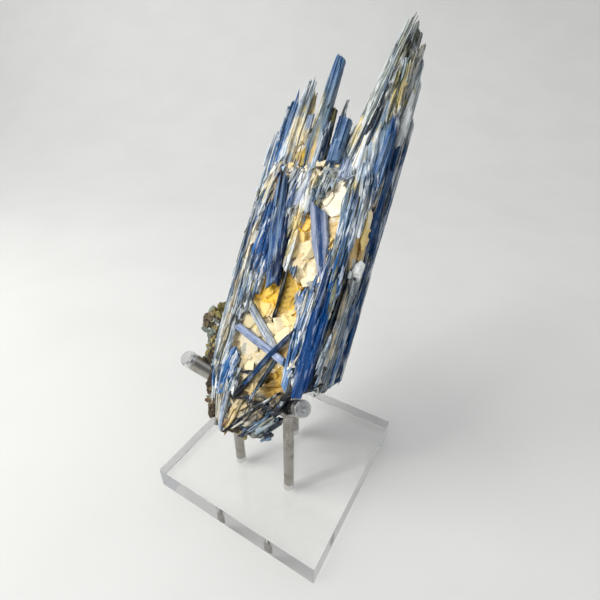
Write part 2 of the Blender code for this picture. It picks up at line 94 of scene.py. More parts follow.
def makePiece(name, points, faces, material, tints=None, grain=None, smooth=False):
    # points in metres, faces a list of arrays of corner numbers, tints and grain one row for a point
    mesh = bpy.data.meshes.new(name)
    corners = np.concatenate([f.ravel() for f in faces]).astype(np.int32)
    sizes = np.concatenate([np.full(len(f), f.shape[1]) for f in faces])
    starts = np.concatenate(([0], np.cumsum(sizes)[:-1])).astype(np.int32)
    mesh.vertices.add(len(points))
    mesh.vertices.foreach_set("co", np.ascontiguousarray(points, np.float32).ravel())
    mesh.loops.add(len(corners))
    mesh.loops.foreach_set("vertex_index", corners)
    mesh.polygons.add(len(starts))
    mesh.polygons.foreach_set("loop_start", starts)
    mesh.polygons.foreach_set("use_smooth", np.full(len(starts), smooth))
    mesh.update(calc_edges=True)
    if tints is not None:
        rgba = np.concatenate((tints, np.ones((len(tints), 1))), 1)
        mesh.attributes.new("tint", "FLOAT_COLOR", "POINT").data.foreach_set("color", rgba.ravel())
    if grain is not None:
        mesh.attributes.new("grain", "FLOAT_VECTOR", "POINT").data.foreach_set("vector", grain.ravel())
    mesh.materials.append(material)
    piece = bpy.data.objects.new(name, mesh)
    bpy.context.scene.collection.objects.link(piece)
    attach(piece, body)
    print("made", name, len(points), "points")
    return piece


def tubeFaces(rows, columns, copies=1, flip=False):
    # quads round a closed grid of rows x columns, and fans that close its first and last row on the
    # two points that follow the grid, the same again for each copy; flip turns every face over
    grid = np.arange(rows * columns).reshape(rows, columns)
    right = np.roll(grid, -1, axis=1)
    low, high = np.full(columns, rows * columns), np.full(columns, rows * columns + 1)
    quads = np.stack((grid[:-1], grid[1:], right[1:], right[:-1]), -1).reshape(-1, 4)
    ends = np.concatenate((np.stack((low, grid[0], right[0]), -1),
                           np.stack((high, right[-1], grid[-1]), -1)))
    if flip:
        quads, ends = quads[:, [0, 3, 2, 1]], ends[:, [0, 2, 1]]
    first = np.arange(copies)[:, None, None] * (rows * columns + 2)
    return [(first + faces).reshape(-1, faces.shape[1]) for faces in (quads, ends)]


def closeEnds(values):
    # the values of a grid (..., rows, columns, 3) in a row, then the means of its first and last row
    flat = values.reshape(*values.shape[:-3], -1, 3)
    means = values[..., [0, -1], :, :].mean(-2)
    return np.concatenate((flat, means), -2)


# ---- shader nodes ----


def feed(tree, node, inputs):
    # inputs by name or number: a socket is linked, a number, vector or color is set
    for key, value in inputs.items():
        socket = node.inputs[key]
        if isinstance(value, bpy.types.NodeSocket):
            tree.links.new(value, socket)
        else:
            socket.default_value = (*value[:3], 1.0) if socket.type == "RGBA" else value
    return node


def addNode(tree, kind, inputs, **settings):
    node = tree.nodes.new("ShaderNode" + kind)
    for key, value in settings.items():
        setattr(node, key, value)
    return feed(tree, node, inputs)


def mathNode(tree, operation, first, second):
    return addNode(tree, "Math", {0: first, 1: second}, operation=operation).outputs[0]


def total(tree, start, *parts):
    # start + value * weight for each part
    for value, weight in parts:
        start = mathNode(tree, "ADD", start, mathNode(tree, "MULTIPLY", value, weight))
    return start


def ramp(tree, value, low, high):
    inputs = {"Value": value, "From Min": low, "From Max": high}
    return addNode(tree, "MapRange", inputs, interpolation_type="SMOOTHSTEP").outputs["Result"]


def mask(tree, value, low, high, amount):
    return mathNode(tree, "MULTIPLY", ramp(tree, value, low, high), amount)


def layColors(tree, color, *layers):
    # lays each (factor, color, blend) over the color so far; 6 and 7 are a Mix node's two colors
    for factor, tone, blend in layers:
        node = addNode(tree, "Mix", {}, data_type="RGBA", blend_type=blend, clamp_factor=False)
        color = feed(tree, node, {0: factor, 6: color, 7: tone}).outputs[2]
    return color


def noiseNode(tree, vector, scale, stretch, detail, rough):
    # fractal noise on a stretched vector: a small stretch along one axis draws the pattern out
    place = addNode(tree, "Mapping", {"Vector": vector, "Scale": stretch}).outputs["Vector"]
    inputs = {"Vector": place, "Scale": scale, "Detail": detail, "Roughness": rough}
    return addNode(tree, "TexNoise", inputs).outputs["Fac"]


def coordinates(tree, output):
    return addNode(tree, "TexCoord", {}).outputs[output]


def attributeNode(tree, name, output):
    return addNode(tree, "Attribute", {}, attribute_name=name).outputs[output]


def newMaterial(name):
    material = bpy.data.materials.new(name)
    material.use_nodes = True
    return material, material.node_tree, material.node_tree.nodes["Principled BSDF"]


def addBump(tree, shader, height, strength, distance):
    bump = addNode(tree, "Bump", {"Height": height, "Strength": strength, "Distance": distance})
    feed(tree, shader, {"Normal": bump.outputs["Normal"]})


# ---- surface effects, each a node group ----

grey = (0.5, 0.5, 0.5, 1.0)
surfaceOutputs = {"Color": "Color", "Roughness": "Float", "Height": "Float"}


def newGroup(name, inputs, outputs):
    # inputs by name and value: None is a vector, a tuple a color, a number a float
    group = bpy.data.node_groups.new(name, "ShaderNodeTree")
    for label, value in inputs.items():
        kind = "Vector" if value is None else "Color" if isinstance(value, tuple) else "Float"
        socket = group.interface.new_socket(label, in_out="INPUT", socket_type="NodeSocket" + kind)
        if value is not None:
            socket.default_value = value
    for label, kind in outputs.items():
        group.interface.new_socket(label, in_out="OUTPUT", socket_type="NodeSocket" + kind)
    return group, group.nodes.new("NodeGroupInput").outputs, group.nodes.new("NodeGroupOutput")


def makeStoneSpaceGroup():
    # object place in metres turned into the stone's frame in millimetres: across, along, out
    group, ins, outs = newGroup("stoneSpace", {"Vector": None}, {"Vector": "Vector"})
    inputs = {"Vector": ins["Vector"], "Rotation": (math.radians(90.0 - stoneFrame["lean"]), 0.0, 0.0),
              "Scale": (mm, mm, mm)}
    place = addNode(group, "Mapping", inputs, vector_type="TEXTURE")
    feed(group, outs, {"Vector": place.outputs["Vector"]})
    return group


striationLook = {   # noises: vector, scale, stretch (a blade runs along the second), detail, roughness
    "thread": ("Vector", 1.15, (1, 0.06, 1), 5, 0.7), "fine": ("Vector", 4, (1, 0.05, 1), 3, 0.6),
    "crack": ("Vector", 1.3, (0.3, 2.4, 0.3), 3, 0.6), "frost": ("Place", 0.24, (1, 0.3, 1), 6, 0.62),
    "dirt": ("Place", 0.2, (1, 0.24, 1), 6, 0.66), "depth": ("Place", 0.15, (1, 0.2, 1), 4, 0.6),
}


def makeStriationGroup():
    # fine lines along a blade: noise drawn out along it gives light and dark threads; broad noise in
    # the stone's own space lays frost, olive dirt and deeper blue over many blades at once, each
    # broken up by the threads: mask = ramp(broad + 0.5 thread); a cross noise gives hair cracks
    group, ins, outs = newGroup("striation", {
        "Vector": None, "Place": None, "Color": grey, "Thread": 0.5, "Frost": 0.4, "Dirt": 0.4,
        "Crack": 0.3}, surfaceOutputs)
    thread, fine, crack, frost, dirt, depth = (
        noiseNode(group, ins[vector], *plan) for vector, *plan in striationLook.values())
    deeper = mask(group, depth, 0.5, 0.66, 0.6)
    dark = mask(group, thread, 0.5, 0.36, ins["Thread"])
    light = mathNode(group, "MULTIPLY", mask(group, thread, 0.55, 0.68, ins["Thread"]), 0.6)
    frosted = mask(group, total(group, frost, (thread, 0.5)), 0.76, 0.9, ins["Frost"])
    soiled = mask(group, total(group, dirt, (fine, 0.4)), 0.74, 0.88, ins["Dirt"])
    cracked = mask(group, crack, 0.64, 0.74, ins["Crack"])
    color = layColors(
        group, ins["Color"], (deeper, (0.3, 0.5, 0.62), "MULTIPLY"), (dark, (0.1, 0.13, 0.18), "MULTIPLY"),
        (light, (0.62, 0.7, 0.76), "MIX"), (frosted, (0.78, 0.82, 0.83), "MIX"),
        (soiled, (0.3, 0.26, 0.12), "MIX"), (cracked, (0.78, 0.82, 0.86), "MIX"))
    feed(group, outs, {"Color": color, "Roughness": total(group, 0.16, (fine, 0.3), (soiled, 0.3)),
                       "Height": total(group, thread, (fine, 0.5), (cracked, 0.4))})
    return group


mottleLook = {   # noises: scale, stretch, detail, roughness
    "large": (0.22, (1, 1, 1), 4, 0.6), "small": (1.5, (1, 1, 1), 5, 0.65),
    "steps": (0.9, (0.2, 1.6, 0.2), 4, 0.6), "splits": (1.2, (1.4, 0.12, 0.6), 3, 0.6),
}


def makeMottleGroup():
    # grains and stains: large noise tints patches, noise drawn out two ways gives cleavage steps,
    # small noise gives specks
    group, ins, outs = newGroup("mottle", {
        "Vector": None, "Color": grey, "Stain": grey, "Stain Amount": 0.5, "Speck": grey,
        "Speck Amount": 0.3}, surfaceOutputs)
    large, small, steps, splits = (noiseNode(group, ins["Vector"], *plan) for plan in mottleLook.values())
    color = layColors(
        group, ins["Color"], (mask(group, large, 0.48, 0.68, ins["Stain Amount"]), ins["Stain"], "MIX"),
        (mask(group, small, 0.58, 0.7, ins["Speck Amount"]), ins["Speck"], "MIX"),
        (mask(group, steps, 0.42, 0.32, 0.55), (0.5, 0.42, 0.28), "MULTIPLY"),
        (mask(group, small, 0.44, 0.3, 0.3), (0.9, 0.87, 0.8), "MIX"))
    feed(group, outs, {"Color": color, "Roughness": total(group, 0.25, (small, 0.4)),
                       "Height": total(group, 0.0, (steps, 1.2), (splits, 0.5), (small, 0.5))})
    return group


stoneSpace = makeStoneSpaceGroup()
striation = makeStriationGroup()
mottle = makeMottleGroup()


def stoneMaterial(name, group, values, shine, bump):
    # the group reads a piece's own grain and tint, and striation also its place in the stone
    material, tree, shader = newMaterial(name)
    values["Vector"] = attributeNode(tree, "grain", "Vector")
    values["Color"] = attributeNode(tree, "tint", "Color")
    if group == striation:
        space = addNode(tree, "Group", {}, node_tree=stoneSpace)
        values["Place"] = feed(tree, space, {"Vector": coordinates(tree, "Object")}).outputs["Vector"]
    effect = addNode(tree, "Group", values, node_tree=group).outputs
    feed(tree, shader, {"Base Color": effect["Color"], "Roughness": effect["Roughness"]} | shine)
    addBump(tree, shader, effect["Height"], *bump)
    return material


def bladeMaterial(name, thread, frost, dirt, crack, coat):
    values = {"Thread": thread, "Frost": frost, "Dirt": dirt, "Crack": crack}
    shine = {"IOR": 1.4, "Specular IOR Level": 0.4, "Coat Weight": coat, "Coat Roughness": 0.15}
    return stoneMaterial(name, striation, values, shine, (0.55, 0.0003))


def rockMaterial(name, stain, stainAmount, speck, speckAmount, coat=0.0):
    values = {"Stain": tint(stain), "Stain Amount": stainAmount, "Speck": tint(speck),
              "Speck Amount": speckAmount}
    return stoneMaterial(name, mottle, values, {"Coat Weight": coat, "Coat Roughness": 0.2}, (0.6, 0.0004))


kyaniteFinish = bladeMaterial("kyaniteFinish", 0.9, 0.75, 0.6, 0.4, 0.08)
deepKyaniteFinish = bladeMaterial("deepKyaniteFinish", 0.5, 0.16, 0.05, 0.35, 0.1)
matrixFinish = rockMaterial("matrixFinish", "tan", 0.28, "ochre", 0.22, 0.05)
schistFinish = rockMaterial("schistFinish", "navy", 0.7, "paleGrey", 0.6, 0.1)
quartzFinish = rockMaterial("quartzFinish", "white", 0.4, "paleGrey", 0.3, 0.3)
crustFinish = rockMaterial("crustFinish", "olive", 0.6, "oliveDark", 0.7)
micaFinish = rockMaterial("micaFinish", "tan", 0.35, "oliveDark", 0.7, 0.3)
print("made the finishes")


# ---- the stone's mass ----

massShape = {
    # (along, left edge, right edge, front face, depth at left, middle and right, right edge at the back)
    "sections": (
        (-9, -15, -4, -1.5, 4.5, 5.5, 4.5, -4),
        (0, -20.5, 9.5, -1.2, 7, 13, 9, 10),
        (10, -25.5, 15, -1, 6, 17, 7, 15),
        (20, -29, 20, -1, 8, 20, 9, 21),
        (28, -30.5, 30.5, -1.2, 15, 22, 22, 32.5),
        (45, -31, 31, -1.5, 21, 23.5, 28, 34),
        (70, -31, 31, -1.5, 24, 26.5, 28, 33),
        (98, -30.5, 30.6, -1.5, 24, 28.5, 27, 32.4),
        (124, -29, 31, -1.5, 21, 26, 25.5, 32.6),
        (136, -25, 31.5, -2.5, 18, 23, 24, 32.4),
        (145, -15, 30.5, -7, 13, 17, 20, 31),
    ),
    # where the blades of the front end: (across, foot, top)
    "reach": (
        (-31, 26, 146), (-26, 8, 158), (-20, -1, 166), (-16, -8, 172), (-10, -10, 160), (-4, -9, 152),
        (3, -8, 154), (9, -6, 153), (13, -2, 157), (17, 8, 163), (20, 22, 172), (24, 23, 184),
        (28, 26, 198), (32, 27, 200), (36, 28, 188),
    ),
}

# openings in the blades where the matrix shows: outline (across, along), and how far the matrix sinks
windows = {
    "cream": (((0.5, 112), (4.5, 111), (8.5, 121), (12.5, 127), (17.5, 134.5), (20.5, 131), (21, 115),
               (24, 103), (22.5, 90), (20, 79), (16, 74), (9.5, 73), (6, 82), (1, 87), (0, 100)), 1.9),
    "yellow": (((-13.5, 62), (-13, 71), (-11, 78), (-5, 75), (0, 84), (2.5, 82), (7.5, 79), (11, 68),
                (14.5, 58), (9, 54), (0, 52.5), (-9, 57)), 2.8),
    "ochre": (((4, 20), (5, 26), (9, 33), (14, 29.5), (15, 24), (10, 19)), 3.4),
    "lower": (((-20, 34), (-20, 46), (-14, 61), (0, 54), (9, 55), (14.5, 57), (16.5, 44), (19, 30),
               (17, 24), (4, 19), (-2, 10), (-9, 12), (-11, 30)), 1.7),
    "step": (((-20.5, 136), (-16, 132.5), (5, 133.5), (5.4, 178), (-20.5, 178)), 5.6),
    "foot": (((-18, -12), (-20, 12), (-9, 12), (-2, 10), (4, 19), (17, 24), (20, 10), (10, -12)), 0.3),
    "groove": (((29.6, 57), (30.2, 104), (32.3, 106), (32.4, 58)), 5),
    "wedge": (((-18.5, 131), (-13.5, 132), (-8, 112), (-2.6, 92), (0.5, 73), (-5, 73), (-12, 88),
               (-17, 108)), 1.2),
    "great": (((19.4, 22), (30, 23), (30.4, 58), (27.5, 76), (23.6, 84), (20.6, 72)), 1.4),
}
flankWindow = (   # the opening in the right side: outline (out, along)
    (-4, 96), (-5.5, 119), (-10, 125), (-15, 117), (-15, 97), (-15.5, 88), (-9, 88),
)


def sectionAt(along):
    # the eight corners (across, out) of the mass at each value of along, straight between sections
    rows = np.array(massShape["sections"])
    left, right, front, deepLeft, deepMiddle, deepRight, rightBack = (
        np.interp(along, rows[:, 0], rows[:, i]) for i in range(1, 8))
    width = right - left
    across = np.stack((left, left + 0.07 * width, right - 0.05 * width, right, rightBack,
                       left + 0.66 * width, left + 0.28 * width, left + 0.06 * width), -1)
    out = np.stack((front - 3.0, front, front, front - 2.0, -deepRight,
                    -deepMiddle, -deepMiddle + 0.6, -deepLeft), -1)
    return np.stack((across, out), -1)


def reachAt(across):
    place, foot, top = np.array(massShape["reach"]).T
    return np.interp(across, place, foot), np.interp(across, place, top)


def perimeterPoint(share, along):
    # the point at a share 0..1 of the way round the mass, measured by length from the left front
    # corner, and the outward normal there
    corners = sectionAt(along)
    ends = np.roll(corners, -1, axis=-2)
    lengths = np.linalg.norm(ends - corners, axis=-1)
    edges = np.cumsum(lengths, -1)
    goal = share * lengths.sum(-1)
    index = np.minimum((edges < goal[..., None]).sum(-1), 7)[..., None]
    picked = np.take_along_axis(lengths, index, -1)
    before = np.take_along_axis(edges, index, -1) - picked
    t = (goal[..., None] - before) / picked
    pick = index[..., None].repeat(2, -1)
    a, b = (np.take_along_axis(places, pick, -2)[..., 0, :] for places in (corners, ends))
    edge = unit(b - a)
    return a + (b - a) * t, np.stack((-edge[..., 1], edge[..., 0]), -1)


def outlineEdges(outline):
    points = np.array(outline, float)
    return zip(points, np.roll(points, -1, axis=0))


def insideOutline(across, along, outline):
    # true where a point lies inside the outline: an odd number of its edges lie to the right
    inside = np.zeros(np.shape(across), bool)
    for (x0, y0), (x1, y1) in outlineEdges(outline):
        crosses = (y0 > along) != (y1 > along)
        reach = x0 + (along - y0) * (x1 - x0) / ((y1 - y0) if y1 != y0 else 1e-9)
        inside ^= crosses & (across < reach)
    return inside


def outlineDistance(across, along, outline):
    # distance to the nearest edge of the outline
    best = np.full(np.shape(across), 1e9)
    for a, b in outlineEdges(outline):
        span = b - a
        t = np.clip(((across - a[0]) * span[0] + (along - a[1]) * span[1]) / (span @ span), 0.0, 1.0)
        best = np.minimum(best, np.hypot(across - a[0] - t * span[0], along - a[1] - t * span[1]))
    return best


def facetField(x, y, spacing, seed, tilt):
    # broken ground: seeds lie one to a square cell, each point belongs to its nearest seed and
    # takes that seed's height and tilted plane: height + slope . (point - seed)
    dice = np.random.default_rng(seed)
    column = np.floor((x - x.min()) / spacing).astype(int) + 1
    row = np.floor((y - y.min()) / spacing).astype(int) + 1
    shape = (row.max() + 2, column.max() + 2)
    seedX = (np.arange(shape[1])[None, :] - 1 + dice.uniform(0.0, 1.0, shape)) * spacing + x.min()
    seedY = (np.arange(shape[0])[:, None] - 1 + dice.uniform(0.0, 1.0, shape)) * spacing + y.min()
    height = dice.uniform(-1.0, 1.0, shape)
    slopeX, slopeY = dice.normal(0.0, tilt, shape), dice.normal(0.0, tilt, shape)
    best = np.full(x.shape, 1e18)
    result = np.zeros(x.shape)
    for i in (-1, 0, 1):
        for j in (-1, 0, 1):
            r, c = row + i, column + j
            dx, dy = x - seedX[r, c], y - seedY[r, c]
            d = dx * dx + dy * dy
            value = height[r, c] + slopeX[r, c] * dx + slopeY[r, c] * dy
            result = np.where(d < best, value, result)
            best = np.minimum(best, d)
    return result


def blendPatches(colors, x, y, patches, seed, wander=(1.0, 2.0)):
    # lays ellipses of color over the points: each patch is (x, y, half x, half y, name, strength),
    # and its edge wanders with broken ground so that it never looks drawn
    dx = facetField(x, y, 3.0, seed, 0.1) * wander[0]
    dy = facetField(x, y, 4.0, seed + 1, 0.1) * wander[1]
    for px, py, halfX, halfY, name, strength in patches:
        radius = np.hypot((x + dx - px) / halfX, (y + dy - py) / halfY)
        weight = (strength * smoothStep(1.15, 0.75, radius))[..., None]
        colors = colors * (1.0 - weight) + tint(name) * weight
    return colors


matrixLook = {
    "columnsFront": 190, "columnsBack": 150, "rows": 284, "ends": (-8.6, 144.6), "frontShare": 0.35,
    "sink": 0.9, "rimSink": 0.4, "rimWidth": 1.3,   # how far the mass lies under the blades and at a rim
    "girth": 175.0, "block": 7.5, "blockHeight": 0.7, "chip": 2.4, "chipHeight": 0.16,
    "patches": (   # (across, along, half across, half along, color, strength)
        # painted shade: the first patch makes the whole front dark grey as shade in the gaps between the
        # blades, and the black one is painted shadow in the groove on the right
        (0, 70, 70, 140, "darkGrey", 1), (30, 80, 4, 28, "black", 1), (-9, 100, 9, 30, "royalBlue", 1),
        (11, 106, 15, 22, "cream", 1), (15.5, 121, 7, 13, "ivory", 0.95), (17, 104, 6, 7, "tan", 1),
        (3, 108, 3.6, 8, "yellow", 1), (5, 116, 3, 4, "gold", 0.6), (4, 94, 5, 8, "cream", 0.9),
        (8, 90, 5, 4, "tan", 0.35), (20, 98, 3, 8, "paleYellow", 0.7), (11, 108, 4, 5, "gold", 0.3),
        (15, 103, 5, 2.4, "orangeTan", 0.35), (4, 98, 3, 4, "yellow", 0.6), (9, 85, 3.5, 4, "beige", 0.7),
        (16, 79, 3.5, 5, "paleGrey", 0.6), (6, 92, 1.8, 3, "ochre", 0.4),
        (19, 119, 1.6, 7, "paleYellow", 0.8), (14, 112, 3, 3, "tan", 0.5), (0, 68, 16, 18, "yellow", 1),
        (5, 70, 5, 11, "gold", 1), (-8, 66, 6, 11, "yellow", 1), (-10, 58, 4, 5, "paleYellow", 0.9),
        (9, 57, 6, 4, "paleYellow", 1), (2, 57, 4, 3, "ochre", 0.7), (5, 79, 4, 4, "ochre", 0.3),
        (10, 82, 8, 5, "cream", 1), (0, 38, 21, 22, "cream", 1), (-12, 42, 4, 9, "paleGrey", 0.6),
        (-15, 50, 4, 6, "paleGrey", 0.7), (-10, 51, 5, 4, "paleYellow", 0.8), (-8, 55, 3, 3, "gold", 0.6),
        (4, 49, 7, 4, "ivory", 0.7), (12, 46, 4, 8, "tan", 0.8), (12, 39, 3, 5, "ochre", 0.7),
        (14, 33, 4, 5, "paleYellow", 0.7), (1, 26, 6, 8, "cream", 0.6), (-2, 17, 5, 6, "tan", 0.9),
        (-4, 5, 6, 10, "beige", 0.8), (-8.5, -6, 3, 5, "orangeTan", 0.8), (10, 25, 7, 8, "ochre", 1),
        (8, 22, 4, 5, "oliveDark", 0.5), (12, 29, 4, 4, "gold", 0.9), (-8, 142, 14, 12, "yellow", 0.9),
        (-16, 154, 5, 8, "paleYellow", 1), (-17, 146, 3, 5, "cream", 0.8), (-12, 136, 3, 4, "gold", 1),
        (-4, 138, 6, 4, "cream", 0.8), (2, 140, 5, 4, "cream", 1), (-14, 144, 1.6, 5, "oliveDark", 0.8),
        (2, 150, 4, 8, "darkGrey", 0.7), (-4, 132, 14, 2.4, "ivory", 0.9), (10, 138, 6, 3, "cream", 0.9),
    ),
    "flankPatches": (   # (out, along, half out, half along, color, strength)
        (-10, 108, 9, 22, "tan", 1), (-8, 114, 3, 8, "cream", 0.8), (-12, 104, 3, 9, "paleYellow", 0.5),
        # painted highlight: the white patch at out -13, along 93 paints the glint of a quartz grain
        (-15, 110, 2, 12, "orangeTan", 0.6), (-13, 93, 5, 5, "white", 1),
    ),
}


def makeMatrix():
    # the mass as one closed tube: share runs round it, along runs up it, windows sink its front,
    # and broken ground lifts and tilts its blocks
    look = matrixLook
    split = look["frontShare"]
    shares = np.concatenate((np.linspace(0.0, split, look["columnsFront"], endpoint=False),
                             np.linspace(split, 1.0, look["columnsBack"], endpoint=False)))
    share, along = np.meshgrid(shares, np.linspace(*look["ends"], look["rows"]))
    place, normal = perimeterPoint(share, along)
    across, out = place[..., 0], place[..., 1]
    front = normal[..., 1] > 0.6
    sink = np.full(share.shape, look["sink"])
    opened = np.zeros(share.shape)
    for outline, depth in windows.values():
        inside = insideOutline(across, along, outline) & front
        rim = smoothStep(0.0, look["rimWidth"], outlineDistance(across, along, outline))
        sink = np.where(inside, np.maximum(sink, look["rimSink"] + depth * rim), sink)
        opened = np.where(inside, rim, opened)
    around = share * look["girth"]
    blocks = facetField(around, along, look["block"], 3, 0.35) * look["blockHeight"]
    chips = facetField(around + 0.3 * along, along, look["chip"], 4, 0.5) * look["chipHeight"]
    lift = (blocks + chips) * (0.35 + 0.65 * opened) - sink
    ripples = 0.5 * np.abs(np.sin(along * 1.1 + 0.8 * np.sin(across * 0.6)))
    yellow = insideOutline(across, along, windows["yellow"][0]) & front
    lift = np.where(yellow, lift + ripples - blocks * 0.5, lift)
    hollow = insideOutline(out, along, flankWindow) & (across > 30.0)
    lift = np.where(hollow, lift + look["sink"], lift)
    place = place + normal * lift[..., None]
    points = closeEnds(np.stack((place[..., 0], along, place[..., 1]), -1))
    colors = blendPatches(np.ones((*share.shape, 3)) * tint("paleGrey"), across, along, look["patches"], 9)
    colors = np.where(front[..., None], colors, 0.5 * tint("steelBlue") + 0.5 * tint("oliveDark"))
    inHollow = blendPatches(colors, out, along, look["flankPatches"], 10)
    colors = np.where(hollow[..., None], inHollow, colors)
    # painted shade: the matrix is darker where its broken ground lies lower
    creaseShade = np.clip(0.5 + 0.9 * (blocks + chips * 1.5), 0.0, 1.0)[..., None]
    colors = closeEnds(colors * (0.9 + 0.12 * creaseShade))
    faces = tubeFaces(*share.shape)
    return makePiece("stoneMatrix", toWorld(points), faces, matrixFinish, colors, points)


# ---- blades ----

bladeShape = {
    "blunt": (0.35, 0.95), "edgeShare": 0.25,   # thickness at the edge, and the share of the half that thins
    "sheet": 0.16, "thinnest": 0.04,            # steps of broken sheets, as shares of the thickness
    "uneven": (-0.05, 0.02), "shade": (0.75, 1.15), "drift": 0.16,
    "leftEdgeLight": (0.45, 1.7), "rightEdgeLight": (0.35, 1.3),   # painted highlight and painted shade on the two long edges
}


def goRound(front, back):
    # values across the front face of a ring, then back across its other face
    return np.concatenate((front, back[..., ::-1]), -1)


def carryBlades(rows, columns, stations, seed):
    # a blade is a flat ribbed board carried from foot to tip: half thickness is flat across it and
    # drops to a share of itself over the outer quarter, grooves and broken sheets step down its
    # faces, the ends slope and splinter: place = middle(t) + side x + face y + axis shift
    dice = np.random.default_rng(seed)
    look = bladeShape
    n = len(rows["width"])
    wide = {key: values[:, None, None] for key, values in rows.items()}   # ready to spread over a grid
    span = rows["tip"] - rows["foot"]
    length = np.linalg.norm(span, axis=-1)
    axis = unit(span)
    side = unit(np.cross(np.array((0.0, 0.0, 1.0)), axis))
    face = np.cross(axis, side)
    turn = np.radians(rows["turn"])[:, None]
    side, face = side * np.cos(turn) + face * np.sin(turn), face * np.cos(turn) - side * np.sin(turn)
    u = np.linspace(1.0, -1.0, columns) + dice.uniform(-0.6, 0.6, (n, columns)) / columns
    u[:, 0], u[:, -1] = 1.0, -1.0
    u = -np.sort(-u, axis=1)
    blunt = dice.uniform(*look["blunt"], (n, 1))
    edge = blunt + (1.0 - blunt) * np.clip((1.0 - np.abs(u)) / look["edgeShare"], 0.0, 1.0)
    half = (0.5 * rows["thickness"][:, None] * edge)[:, None]
    t = np.linspace(0.0, 1.0, stations) + dice.uniform(-0.3, 0.3, (n, stations)) / stations
    t = np.clip(t, 0.0, 1.0)
    t[:, 0], t[:, -1] = 0.0, 1.0
    t = np.sort(t, axis=1)
    size = np.stack([np.interp(row, (0.0, 0.5, 1.0), (low, 1.0, high))
                     for row, low, high in zip(t, rows["footTaper"], rows["taper"])])
    size = (size * (1.0 + dice.uniform(*look["uneven"], (n, stations))))[:, :, None]
    broken = dice.uniform(0.25, 1.9, (n, 1, columns))
    t = t[:, :, None]
    sheet = (t > broken) * (look["sheet"] * wide["thickness"])
    front = half - wide["groove"] * dice.uniform(0, 1, (n, 1, columns)) - sheet
    back = np.repeat(-half + wide["groove"] * dice.uniform(0, 1, (n, 1, columns)), stations, axis=1)
    front = np.maximum(front, look["thinnest"] * wide["thickness"])
    x = u[:, None] * 0.5 * wide["width"] * size
    lean = np.where(wide["turn"] >= 0, 1.0, -1.0)
    shift = np.interp(t, (0.0, 0.55, 1.0), (-1.0, 0.0, 1.0)) * wide["slope"] * u[:, None] * 0.5 * lean
    for sign in (-1.0, 1.0):   # splinters at the tip, then at the foot
        near = np.clip(sign * (0.5 - t) / 0.5, 0.0, 1.0) ** 2
        shift = shift + sign * wide["ragged"] * dice.uniform(0, 1, (n, 1, columns)) * near
    x, y, shift = goRound(x, x), goRound(front, back) * size, goRound(shift, shift)
    middle = wide["foot"] + span[:, None, None] * t[..., None]
    middle = middle + face[:, None, None] * (wide["bow"] * np.sin(np.pi * t))[..., None]
    points = (middle + side[:, None, None] * x[..., None] + face[:, None, None] * y[..., None]
              + axis[:, None, None] * shift[..., None])
    streak = dice.uniform(0.0, 1.0, (n, 1, columns)) ** 1.6
    drift = dice.uniform(-look["drift"], look["drift"], (n, (stations + 1) // 2))
    drift = np.repeat(drift, 2, axis=1)[:, :stations, None]
    core = smoothStep(0.15, 0.62, np.abs(u))[:, None]
    mix = (np.clip(streak + drift, 0.0, 1.0) * (1.0 - wide["zoned"])
           + np.clip(core + 0.25 * drift, 0.0, 1.0) * wide["zoned"])
    mix = goRound(mix, mix)[..., None]
    colors = wide["color"] * (1.0 - mix) + wide["streak"] * mix
    colors = colors * dice.uniform(*look["shade"], (n, 1, 1, 1))
    # painted highlight and painted shade: each edge of a blade is made lighter or darker, as if it caught or
    # lost the light
    edgeLight = np.where(u > 0, dice.uniform(*look["leftEdgeLight"], (n, 1)), dice.uniform(*look["rightEdgeLight"], (n, 1)))
    rim = 1.0 + (edgeLight - 1.0) * smoothStep(0.72, 1.0, np.abs(u))
    colors = colors * goRound(rim, rim)[:, None, :, None]
    grain = np.stack((x + 11.0 * np.arange(n)[:, None, None], t * length[:, None, None] + shift, y), -1)
    faces = tubeFaces(stations, 2 * columns, n, flip=True)
    return [closeEnds(values).reshape(-1, 3) for values in (points, colors, grain)], faces


